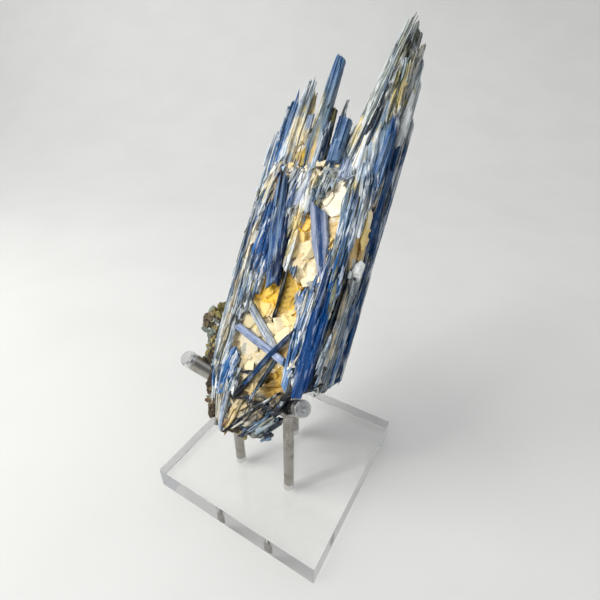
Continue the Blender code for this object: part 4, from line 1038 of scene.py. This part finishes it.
# a block: middle (across, along, out), half size, longest over widest, turn in the plane, color
# a scatter: middle, half size of the region, how many, half size of a block from and to, longest over
# widest, turn in the plane, spread of that turn, colors
paleBlocks = (
    ((15.4, 119.6, -3.5), 7.2, 1.7, 76, "ivory"), ((17.4, 123, -3.3), 3.6, 2, 86, "ivory"),
    ((17.8, 106, -3.8), 5.2, 1.3, 70, "tan"), ((10.6, 121, -3.6), 3.8, 1.5, 60, "cream"),
    ((18, 98, -3.95), (2.4, 4, 0.3), 5, (1.6, 3), 1.8, 100, 30, "tan cream paleYellow"),
    ((3, 107, -4.5), 3, 2.4, 84, "paleYellow"), ((6.6, 94.5, -3.3), 6.6, 1.2, 40, "cream"),
    ((4.4, 89, -3.7), (4.4, 3.6, 0.4), 4, (3.4, 5.2), 1.4, 60, 60, "cream paleYellow tan"),
    ((13.4, 82, -2.9), 5.6, 1.4, 60, "ivory"),
    ((13.8, 79, -3.15), (4, 4.5, 0.4), 4, (3.2, 5), 1.4, 40, 60, "ivory cream paleGrey"),
    ((-8.6, 69, -4.5), 4.6, 1.6, 70, "yellow"), ((-7.2, 58.5, -4.3), 4.8, 1.4, 20, "yellow"),
    ((-8, 63, -4.75), (2.6, 7, 0.3), 4, (2, 3.4), 1.5, 60, 40, "yellow paleYellow gold"),
    ((7.5, 55.8, -3.6), (4.5, 1.8, 0.3), 3, (3.4, 5.2), 1.5, 20, 60, "paleYellow cream ivory"),
    ((-9.5, 38, -3.3), 7.8, 1.2, 40, "cream"), ((-13.5, 50, -3.3), 5.2, 1.4, 100, "paleGrey"),
    ((-6.4, 26.5, -3.3), 5.4, 1.5, 110, "cream"), ((8.6, 48, -3.3), 6, 1.3, 70, "cream"),
    ((7, 34, -3.2), 6, 1.2, 150, "cream"), ((14, 41, -3.2), 3.4, 2, 80, "tan"),
    ((0.5, 42, -3.9), (13, 13, 0.3), 6, (2.6, 5), 1.6, 150, 60, "greyGreen cream tan paleYellow paleGrey"),
    ((-1.5, 19, -3.6), (3.8, 5.6, 0.4), 7, (1.8, 3.6), 1.6, 50, 30, "cream tan greyGreen paleYellow"),
    ((-6, 1.5, -2.3), (3.4, 7.6, 0.4), 12, (1.6, 3.4), 2.4, 62, 14, "tan beige beige orangeTan greyGreen"),
    ((-13.5, 1, -1.9), (3.6, 8, 0.4), 16, (1, 2.4), 2.4, 96, 14, "beige paleGrey greyGreen tan"),
    ((-6.5, 132.8, -2.8), (13, 1.4, 0.7), 30, (0.8, 2.2), 1.8, 150, 60,
     "ivory cream paleGrey paleBlue white"),
    ((-16.5, 150.5, -7.4), 4, 2.4, 78, "cream"),
    ((-14.5, 145, -7), (3.4, 9, 0.4), 8, (1.8, 3.4), 2.2, 80, 20, "cream yellow paleYellow olive ivory"),
    ((3, 137.4, -5.4), (3.4, 1.6, 0.6), 7, (1.2, 2), 3, 10, 16, "cream ivory tan"),
    ((11.5, 136.4, -3.4), (3.2, 1.4, 0.5), 8, (1.2, 2), 3, 6, 16, "cream ivory paleYellow"),
    ((4, 127, -2.3), (6.4, 7.6, 0.5), 50, (0.8, 2.4), 2.6, 64, 30,
     "greyGreen paleGrey olive white greyGreen iceBlue cream"),
)
sideBlocks = (   # the same on the right side, where the middle is (out, along, across)
    ((-9.4, 108, 33), 4.6, 3, 86, "paleYellow"), ((-8.2, 117, 32.4), 3.2, 2.6, 82, "cream"),
    ((-12.6, 100, 33.2), 3.4, 2.2, 88, "tan"),
    ((-11.4, 104, 33), (1.4, 9.5, 0.3), 7, (1.2, 2.4), 3, 86, 6, "tan paleYellow cream"),
    ((-12, 91, 35), 4.6, 1.5, 80, "white"),
    ((-12.4, 92, 33.2), (1.4, 2.4, 0.3), 2, (1.8, 3.2), 1.4, 60, 60, "white ivory white"),
    ((-9, 33, 32.2), (4, 6, 0.6), 16, (1, 2.6), 1.6, 70, 40, "paleGrey cream greyBlue darkGrey"),
    ((-14, 29.5, 32.8), (9, 2, 0.6), 20, (0.9, 2.2), 1.6, 0, 40, "darkGrey brown oliveDark black"),
)
quartzBlocks = (
    ((34.4, 91, -9.4), 4.2, 1.5, 66, "white"),
)
schistBlocks = (
    ((9, 3.5, -3.2), (8, 7, 1), 150, (0.5, 1.4), 5, 48, 9,
     "greyBlue darkGrey navy darkGrey greyBlue greyGreen darkGrey greyGreen"),
    ((15, 15, -3.2), (2.8, 6, 1), 36, (0.7, 2), 1.8, 60, 30, "darkGrey black greyBlue paleGrey"),
    ((-2, -6, -3.2), (6, 2.2, 1), 40, (0.6, 1.7), 2, 50, 20, "brown darkGrey tan rust olive"),
    ((3.5, 11.5, -1.7), (10.5, 1.3, 0.5), 30, (0.6, 1.5), 2.6, 50, 8, "black navy darkGrey"),
)
rindBlocks = (
    ((-35.2, 43.5, -2.2), (3.8, 6.2, 1.2), 44, (0.9, 2.4), 1.7, 100, 60,
     "olive brown greyGreen oliveDark paleGrey"),
    ((-32.2, 31.5, -2.2), (2.6, 9.6, 1.2), 70, (0.7, 1.9), 1.8, 80, 50, "brown olive greyGreen"),
    ((-25, 12, -2.2), (1.2, 11, 1), 60, (0.5, 1.3), 1.8, 84, 30, "brown rust olive greyGreen"),
    ((-19.8, -1, -2.6), (1.6, 5, 0.8), 24, (0.5, 1.4), 1.8, 120, 50, "brown rust olive darkGrey"),
)
blockShape = {"points": 18, "front": (0.15, 0.55), "ends": (0.5, 0.95), "deepest": 2.6, "groundShare": 0.6}


def makeBlocks(name, plan, finish, seed, sideways=False, patches=None):
    # angular blocks: each is the hull of points on a ball, cut flat in front and at its two ends,
    # stretched, turned in the plane, tilted a little and sunk in the face
    dice = np.random.default_rng(seed)
    draw = dice.uniform
    shape = blockShape
    hull = bmesh.new()
    spots, colors, blocks = [], [], []
    for row in plan:
        if len(row) == 5:
            middle, size, stretch, turn, names = row
            spread, count, size, turnSpread = (0, 0, 0), 1, (size, size), 0
        else:
            middle, spread, count, size, stretch, turn, turnSpread, names = row
        for i in range(count):
            ball = unit(dice.normal(size=(shape["points"], 3))) * draw(0.8, 1.0, (shape["points"], 1))
            ball[:, 2] = np.minimum(ball[:, 2], draw(*shape["front"]))
            ball[:, 0] = np.clip(ball[:, 0], -draw(*shape["ends"]), draw(*shape["ends"]))
            half = draw(*size)
            long = half * draw(1.0, stretch) if count > 1 else half * stretch
            tiltX, tiltY = dice.normal(0.0, 0.2, 2) if count > 1 else (0.06, -0.05)
            angle = math.radians(turn + dice.normal(0.0, 1.0) * turnSpread)
            c, s = math.cos(angle), math.sin(angle)
            spot = np.array(middle) + np.array(spread) * draw(-1, 1, 3)
            spin = np.array(((c, s, 0), (-s, c, 0), (0, 0, 1)))
            lean = np.array(((1, 0, tiltX), (0, 1, tiltY), (-tiltX, -tiltY, 1)))
            placed = ball * (long, half, min(half * 0.9, shape["deepest"])) @ spin @ lean + spot
            placed = placed[:, ::-1] if sideways else placed
            bmesh.ops.convex_hull(hull, input=[hull.verts.new(point) for point in placed])
            spots.append(spot)
            colors.append(tint(dice.choice(names.split())) * draw(0.82, 1.1))
            blocks.append(placed)
    hull.verts.index_update()
    used = np.array([len(vert.link_faces) > 0 for vert in hull.verts])
    faces = (np.cumsum(used) - 1)[np.array([[vert.index for vert in face.verts] for face in hull.faces])]
    hull.free()
    colors = np.array(colors)
    if patches:
        across, along, _ = np.array(spots).T
        ground = blendPatches(colors, across, along, patches, 9, (0.0, 0.0))
        colors = colors * (1.0 - shape["groundShare"]) + ground * shape["groundShare"]
    points = np.concatenate(blocks)[used]
    colors = np.repeat(colors, shape["points"], axis=0)[used]
    return makePiece(name, toWorld(points), [faces], finish, colors, points)


lumpShape = {"around": 56, "upDown": 34, "cuts": 40, "bump": 1.3, "fineBump": 0.6}
crusts = {   # middle, half size, color
    "greyCrustA": ((4.5, 128, -3.4), (6.5, 5.5, 4.2), "greyGreen"),
    "greyCrustB": ((9.5, 133, -3.6), (7, 4.5, 4.2), "paleGrey"),
}
rinds = {
    "rindA": ((-36.4, 43, -5), (6.4, 7.8, 6), "brown"), "rindB": ((-33, 50, -6), (4.6, 6.8, 5.6), "olive"),
    "rindC": ((-33, 36, -5), (5.4, 8, 5.4), "greyGreen"), "rindD": ((-30, 26, -4), (4, 9, 5), "brown"),
    "rindE": ((-25.8, 13, -2.2), (3, 11, 3.4), "brown"),
    "rindF": ((-20.8, 0, -3.4), (3.4, 9, 4.2), "brown"),
}


def makeLumps(name, table, finish, roughness, seed):
    # a broken lump: along each direction its radius is the nearest of many random planes,
    # distance / (plane . direction), so it has flat faces and sharp edges, with fine bumps on top
    dice = np.random.default_rng(seed)
    shape = lumpShape
    angle = np.linspace(0, 2 * np.pi, shape["around"], endpoint=False)
    polar = np.linspace(0, np.pi, shape["upDown"])[1:-1]
    theta, phi = np.meshgrid(angle, polar)
    ring = np.stack((np.sin(phi) * np.cos(theta), np.sin(phi) * np.sin(theta), np.cos(phi)), -1)
    ring = np.concatenate((ring.reshape(-1, 3), ((0, 0, 1.0), (0, 0, -1.0))))
    points, colors = [], []
    for i, (middle, half, color) in enumerate(table.values()):
        planes = unit(dice.normal(size=(shape["cuts"], 3)))
        distance = dice.uniform(0.62, 1.0, shape["cuts"])
        radius = np.minimum((distance / np.maximum(ring @ planes.T, 1e-3)).min(1), 1.12)
        x, y, z = (ring * np.array(half)).T
        bumps = facetField(x + 0.6 * z, y - 0.5 * z, shape["bump"], seed + i, 0.35)
        bumps = bumps + 0.4 * facetField(x - z, y, shape["fineBump"], seed + 50 + i, 0.6)
        radius = (radius + bumps * roughness)[:, None]
        points.append(np.array(middle) + ring * radius * np.array(half))
        # painted shade: points that lie nearer the middle are darker, points that stand out are lighter
        colors.append(tint(color) * np.clip(0.86 + 0.5 * (radius - 0.9), 0.6, 1.1))
    points = np.concatenate(points)
    faces = tubeFaces(len(polar), len(angle), len(table))
    return makePiece(name, toWorld(points), faces, finish, np.concatenate(colors), points)


# ---- the stand ----

standSize = {
    "plateSide": 110.0, "plateThickness": 15.0, "holeDepth": 9.5, "gap": 0.3, "postRadius": 3.0,
    "postFootAboveHole": 0.6, "armRadius": 4.5, "armTail": 3.5, "capRadius": 4.5, "capSleeve": 3.0,
    "capDome": 4.0, "tipRadius": 3.75, "tipLength": 3.2, "lip": 0.4, "edgeBevel": 0.35, "rodSides": 64,
}
arms = {   # node, post (x, y), height of the joint, azimuth and rise in degrees, reach
    "FrontLeft": ("front_left", (-18.3, -20.2), 76.0, 204.6, 36.2, 29.0),
    "FrontRight": ("front_right", (18.3, -20.2), 77.5, 345.0, 38.0, 13.5),
    "Rear": ("rear", (0.0, 16.5), 100.0, 90.0, 54.0, 44.0),
}


def turnedRod(name, start, axis, profile, material):
    # a turned rod: profile is (distance, radius) from foot to tip, turned about the axis,
    # with each end closed on the axis: place = start + distance axis + radius spoke(angle)
    distance, radius = np.array(profile, float).T[:, :, None]
    axis = np.array(axis, float)
    helper = np.array((0.0, 0.0, 1.0)) if abs(axis[2]) < 0.9 else np.array((1.0, 0.0, 0.0))
    first = unit(np.cross(helper, axis))
    second = np.cross(axis, first)
    angle = np.linspace(0, 2 * np.pi, standSize["rodSides"], endpoint=False)
    spoke = np.cos(angle)[:, None] * first + np.sin(angle)[:, None] * second
    points = (np.array(start) + distance[..., None] * axis + radius[..., None] * spoke) * mm
    grain = np.stack(np.broadcast_arrays(radius * np.cos(angle), distance, radius * np.sin(angle)), -1)
    faces = tubeFaces(len(profile), len(angle), flip=True)
    piece = makePiece(name, closeEnds(points), faces, material, None, closeEnds(grain), smooth=True)
    piece.data.set_sharp_from_angle(angle=math.radians(38.0))
    return piece


def steelMaterial(name, bright, dark, line):
    # drawn steel: fine lines along the rod, slightly uneven polish, a warm cast in the dull patches
    material, tree, shader = newMaterial(name)
    vector = attributeNode(tree, "grain", "Vector")
    lines = noiseNode(tree, vector, 5, (1, 0.02, 1), 3, 0.6)
    dull = noiseNode(tree, vector, 0.12, (1, 1, 1), 4, 0.6)
    color = layColors(tree, bright, (ramp(tree, dull, 0.42, 0.68), dark, "MIX"),
                      (mathNode(tree, "MULTIPLY", lines, 0.25), line, "MIX"))
    rough = total(tree, 0.14, (lines, 0.18), (ramp(tree, dull, 0.45, 0.7), 0.12))
    feed(tree, shader, {"Base Color": color, "Roughness": rough, "Metallic": 1.0})
    addBump(tree, shader, lines, 0.12, 0.0001)
    return material


def clearMaterial(name, color, smear, ior, shade, leaving):
    # clear plastic: faint smears roughen its polish, a shadow ray passes it by the share shade, and
    # light that has been reflected twice inside leaves straight through by the share leaving
    material, tree, shader = newMaterial(name)
    smears = noiseNode(tree, coordinates(tree, "Object"), 55, (1, 1, 1), 4, 0.6)
    feed(tree, shader, {"Roughness": mask(tree, smears, 0.5, 0.75, smear), "Base Color": color, "IOR": ior,
                        "Transmission Weight": 1.0, "Specular IOR Level": 0.4})
    rays = addNode(tree, "LightPath", {}).outputs
    surface = shader.outputs["BSDF"]
    deep = mathNode(tree, "GREATER_THAN", rays["Glossy Depth"], 1.5)
    for factor, level in ((deep, leaving), (rays["Is Shadow Ray"], shade)):
        through = addNode(tree, "BsdfTransparent", {"Color": (level, level, level)}).outputs["BSDF"]
        surface = addNode(tree, "MixShader", {0: factor, 1: surface, 2: through}).outputs["Shader"]
    feed(tree, tree.nodes["Material Output"], {"Surface": surface})
    return material


def makePlate(material):
    # a slab with small bevels and three blind holes with rounded floors, cut by an exact Boolean
    size = standSize
    half, top = size["plateSide"] / 2, size["plateThickness"]
    square = ((-half, -half), (half, -half), (half, half), (-half, half))
    corners = np.array([(x, y, z) for z in (0.0, top) for x, y in square])
    quads = np.array(((0, 3, 2, 1), (4, 5, 6, 7), (0, 1, 5, 4), (1, 2, 6, 5), (2, 3, 7, 6), (3, 0, 4, 7)))
    piece = makePiece("clearPlate", corners * mm, [quads], material)
    bevel = piece.modifiers.new("bevel", "BEVEL")
    bevel.width = size["edgeBevel"] * mm
    bevel.segments = 2
    radius = size["postRadius"] + size["gap"]
    floor = top - size["holeDepth"]
    hole = [(floor + radius * 0.5 * (1 - math.cos(a)), radius * math.sin(a))
            for a in np.linspace(0.15, math.pi / 2, 8)]
    hole.append((top + 5.0, radius))
    cutters = []
    for node, place, *arm in arms.values():
        cutters.append(turnedRod("holeCutter", (*place, 0.0), (0, 0, 1), hole, material))
        cut = piece.modifiers.new("hole", "BOOLEAN")
        cut.operation = "DIFFERENCE"
        cut.object = cutters[-1]
        cut.solver = "EXACT"
    graph = bpy.context.evaluated_depsgraph_get()
    mesh = bpy.data.meshes.new_from_object(piece.evaluated_get(graph))
    piece.modifiers.clear()
    piece.data = mesh
    for cutter in cutters:
        bpy.data.objects.remove(cutter)
    return piece


def makeStand():
    size = standSize
    steel = steelMaterial("steelFinish", (0.52, 0.495, 0.45), (0.35, 0.32, 0.275), (0.7, 0.68, 0.64))
    polished = steelMaterial("polishedFinish", (0.8, 0.8, 0.79), (0.6, 0.59, 0.57), (0.9, 0.9, 0.9))
    clear = clearMaterial("acrylicFinish", (0.998, 0.998, 0.998), 0.02, 1.49, 1.0, 0.94)
    capClear = clearMaterial("capFinish", (0.99, 0.995, 0.995), 0.03, 1.45, 0.9, 1.0)
    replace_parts(makePlate(clear), "base_plate")
    gap, lip = size["gap"], size["lip"]
    armWide, tipWide, capWide, postWide = (size[key + "Radius"] for key in ("arm", "tip", "cap", "post"))
    floor = size["plateThickness"] - size["holeDepth"] + size["postFootAboveHole"]
    for name, (node, place, joint, azimuth, rise, reach) in arms.items():
        azimuth, rise = math.radians(azimuth), math.radians(rise)
        axis = (math.cos(rise) * math.cos(azimuth), math.cos(rise) * math.sin(azimuth), math.sin(rise))
        start = (*place, joint)
        tail, end = -size["armTail"], reach - size["capSleeve"]
        rod = [(tail, armWide - lip), (tail + lip, armWide), (end - lip, armWide), (end, armWide - lip)]
        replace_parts(turnedRod("arm" + name, start, axis, rod, steel), "arm_" + node)
        far = end + size["tipLength"]
        tip = [(end - lip, tipWide), (far - 1.3, tipWide), (far, tipWide - 1.2), (far, tipWide * 0.4),
               (far - 0.8, tipWide * 0.2), (far - 0.8, 0.2)]
        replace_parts(turnedRod("tip" + name, start, axis, tip, polished), "arm_" + node)
        foot = end + gap
        cap = [(far + gap, tipWide - 0.1), (far, tipWide + gap), (foot, tipWide + gap),
               (foot, capWide - 0.15), (foot + 0.15, capWide)]
        cap += [(reach + size["capDome"] * math.sin(a), capWide * math.cos(a))
                for a in np.linspace(0, math.radians(84), 12)]
        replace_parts(turnedRod("cap" + name, start, axis, cap, capClear), "cap_" + node)
        post = [(floor, postWide - lip), (floor + lip, postWide), (joint - armWide * 0.2, postWide)]
        foot = (*place, 0.0)
        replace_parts(turnedRod("post" + name, foot, (0, 0, 1), post, steel), "post_" + node)
    print("made the stand")


# ---- floor, lights and camera ----

studio = {   # metres
    "floorColor": (216, 216, 214), "near": 2.0, "far": 0.55, "sweepRadius": 1.2, "sweepAngle": 50.0,
    "wall": 2.5, "halfWidth": 3.0, "floorDrop": 0.3 * mm,
    "topColor": (250, 252, 255), "sideColor": (190, 194, 198), "lowColor": (150, 152, 156),
    "worldStrength": 0.6,
    # patches of the sky: aim, edge (as cosines), amount
    "lobe": ((-0.36, -0.6, 0.71), (0.86, 1.0), 5.3), "lobeColor": (1.0, 0.985, 0.96),
    "dim": ((0.5, -0.55, 0.66), (0.8, 0.96), 0.75), "dimColor": (0.03, 0.032, 0.036),
}
lamps = {   # place, aim, size, power, color
    "key": ((-0.56, -0.46, 0.54), (0.0, 0.0, 0.1), 0.5, 5.0, (1.0, 0.985, 0.96)),
    "fill": ((0.6, -0.25, 0.35), (0.0, 0.0, 0.14), 0.5, 0.3, (0.95, 0.97, 1.0)),
    "spark": ((-0.4, -0.66, 0.78), (0.0, 0.0, 0.12), 0.09, 0.9, (1.0, 0.99, 0.97)),
    "wallLight": ((-1.0, 0.5, 1.3), (-0.9, 1.7, 0.5), 0.8, 4.2, (1.0, 1.0, 1.0)),
}
cameraView = {"place": (0.0961, -0.1421, 0.2346), "right": (0.86126, 0.50811, 0.00772),
              "up": (-0.27433, 0.45211, 0.84873), "back": (0.42775, -0.73309, 0.52878),
              "lens": 23.588, "sensor": 36.0}


def makeFloor():
    # a sheet that runs flat under the stand, then sweeps up an arc into a slope behind it
    plan = studio
    ahead = unit(np.array((-cameraView["back"][0], -cameraView["back"][1], 0.0)))
    sideways = np.array((ahead[1], -ahead[0], 0.0)) * plan["halfWidth"]
    bend = np.linspace(0, math.radians(plan["sweepAngle"]), 33)
    run = plan["far"] + plan["sweepRadius"] * np.sin(bend)
    rise = plan["sweepRadius"] * (1 - np.cos(bend))
    run = np.concatenate(((-plan["near"],), run, (run[-1] + plan["wall"] * math.cos(bend[-1]),)))
    rise = np.concatenate(((0.0,), rise, (rise[-1] + plan["wall"] * math.sin(bend[-1]),)))
    line = run[:, None] * ahead + (rise - plan["floorDrop"])[:, None] * np.array((0.0, 0.0, 1.0))
    points = np.concatenate((line - sideways, line + sideways))
    count = len(line)
    i = np.arange(count - 1)
    faces = np.stack((i, i + count, i + count + 1, i + 1), -1)
    mesh = bpy.data.meshes.new("floor")
    mesh.from_pydata(points.tolist(), [], faces.tolist())
    mesh.shade_smooth()
    material, tree, shader = newMaterial("floorFinish")
    cloud = noiseNode(tree, coordinates(tree, "Object"), 9, (1, 1, 1), 3, 0.5)
    base = linear(plan["floorColor"])
    color = layColors(tree, base, (ramp(tree, cloud, 0.35, 0.7), base * 0.97, "MIX"))
    feed(tree, shader, {"Base Color": color, "Roughness": 0.8})
    mesh.materials.append(material)
    floor = bpy.data.objects.new("floor", mesh)
    bpy.context.scene.collection.objects.link(floor)


def toward(tree, sky, aim, edge, amount):
    # a soft round patch of the sky: amount * ramp(direction . aim)
    node = addNode(tree, "VectorMath", {0: sky, 1: unit(np.array(aim))}, operation="DOT_PRODUCT")
    return mask(tree, node.outputs["Value"], *edge, amount)


def makeWorld():
    # soft light from all round: pale above, greyer to the sides, darker below and behind the viewer;
    # the bright lobe is left out of reflections seen by way of another surface
    world = bpy.data.worlds.new("studioWorld")
    world.use_nodes = True
    tree = world.node_tree
    sky = coordinates(tree, "Generated")
    height = addNode(tree, "SeparateXYZ", {"Vector": sky}).outputs["Z"]
    rays = addNode(tree, "LightPath", {}).outputs
    hidden = mathNode(tree, "MULTIPLY", mathNode(tree, "GREATER_THAN", rays["Ray Depth"], 1.5),
                      mathNode(tree, "GREATER_THAN", rays["Glossy Depth"], 0.5))
    shown = mathNode(tree, "SUBTRACT", 1.0, hidden)
    lobe = mathNode(tree, "MULTIPLY", toward(tree, sky, *studio["lobe"]), shown)
    color = layColors(
        tree, linear(studio["sideColor"]), (ramp(tree, height, 0.1, 0.9), linear(studio["topColor"]), "MIX"),
        (ramp(tree, height, 0.0, -0.5), linear(studio["lowColor"]), "MIX"),
        (toward(tree, sky, *studio["dim"]), studio["dimColor"], "MIX"), (lobe, studio["lobeColor"], "ADD"))
    feed(tree, tree.nodes["Background"], {"Color": color, "Strength": studio["worldStrength"]})
    bpy.context.scene.world = world


def makeLights():
    for name, (place, aim, size, power, color) in lamps.items():
        data = bpy.data.lights.new(name, "AREA")
        data.size = size
        data.energy = power
        data.color = color
        lamp = bpy.data.objects.new(name, data)
        lamp.location = place
        lamp.visible_glossy = name == "spark"
        lamp.visible_transmission = False
        lamp.rotation_euler = (Vector(aim) - Vector(place)).to_track_quat("-Z", "Y").to_euler()
        bpy.context.scene.collection.objects.link(lamp)


def makeCamera():
    data = bpy.data.cameras.new("camera")
    data.lens = cameraView["lens"]
    data.sensor_width = cameraView["sensor"]
    data.clip_start = 0.01
    camera = bpy.data.objects.new("camera", data)
    turn = np.eye(4)
    turn[:3] = np.stack([cameraView[key] for key in ("right", "up", "back", "place")], -1)
    camera.matrix_world = Matrix(turn.tolist())
    bpy.context.scene.collection.objects.link(camera)
    bpy.context.scene.camera = camera


stonePieces = [makeMatrix()]
stonePieces += [spreadBlades(name, plan) for name, plan in spreadPlan.items()]
stonePieces += makeHeroes() + makeSplinters()
stonePieces += [makeRecess(), makeSpireFill(), makeFoot()]
stonePieces += [makeBlocks("paleBlocks", paleBlocks, matrixFinish, 71, patches=matrixLook["patches"]),
                makeBlocks("sideBlocks", sideBlocks, matrixFinish, 74, sideways=True),
                makeBlocks("quartzBlocks", quartzBlocks, quartzFinish, 77),
                makeBlocks("schistBlocks", schistBlocks, schistFinish, 75),
                makeBlocks("rindBlocks", rindBlocks, micaFinish, 76),
                makeLumps("greyCrust", crusts, crustFinish, 0.1, 72),
                makeLumps("micaRind", rinds, micaFinish, 0.09, 73)]
for piece in stonePieces:
    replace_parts(piece, "kyanite_cluster")
print("made the stone")
makeStand()
makeFloor()
makeWorld()
makeLights()
makeCamera()
bpy.context.scene.view_settings.view_transform = "Standard"
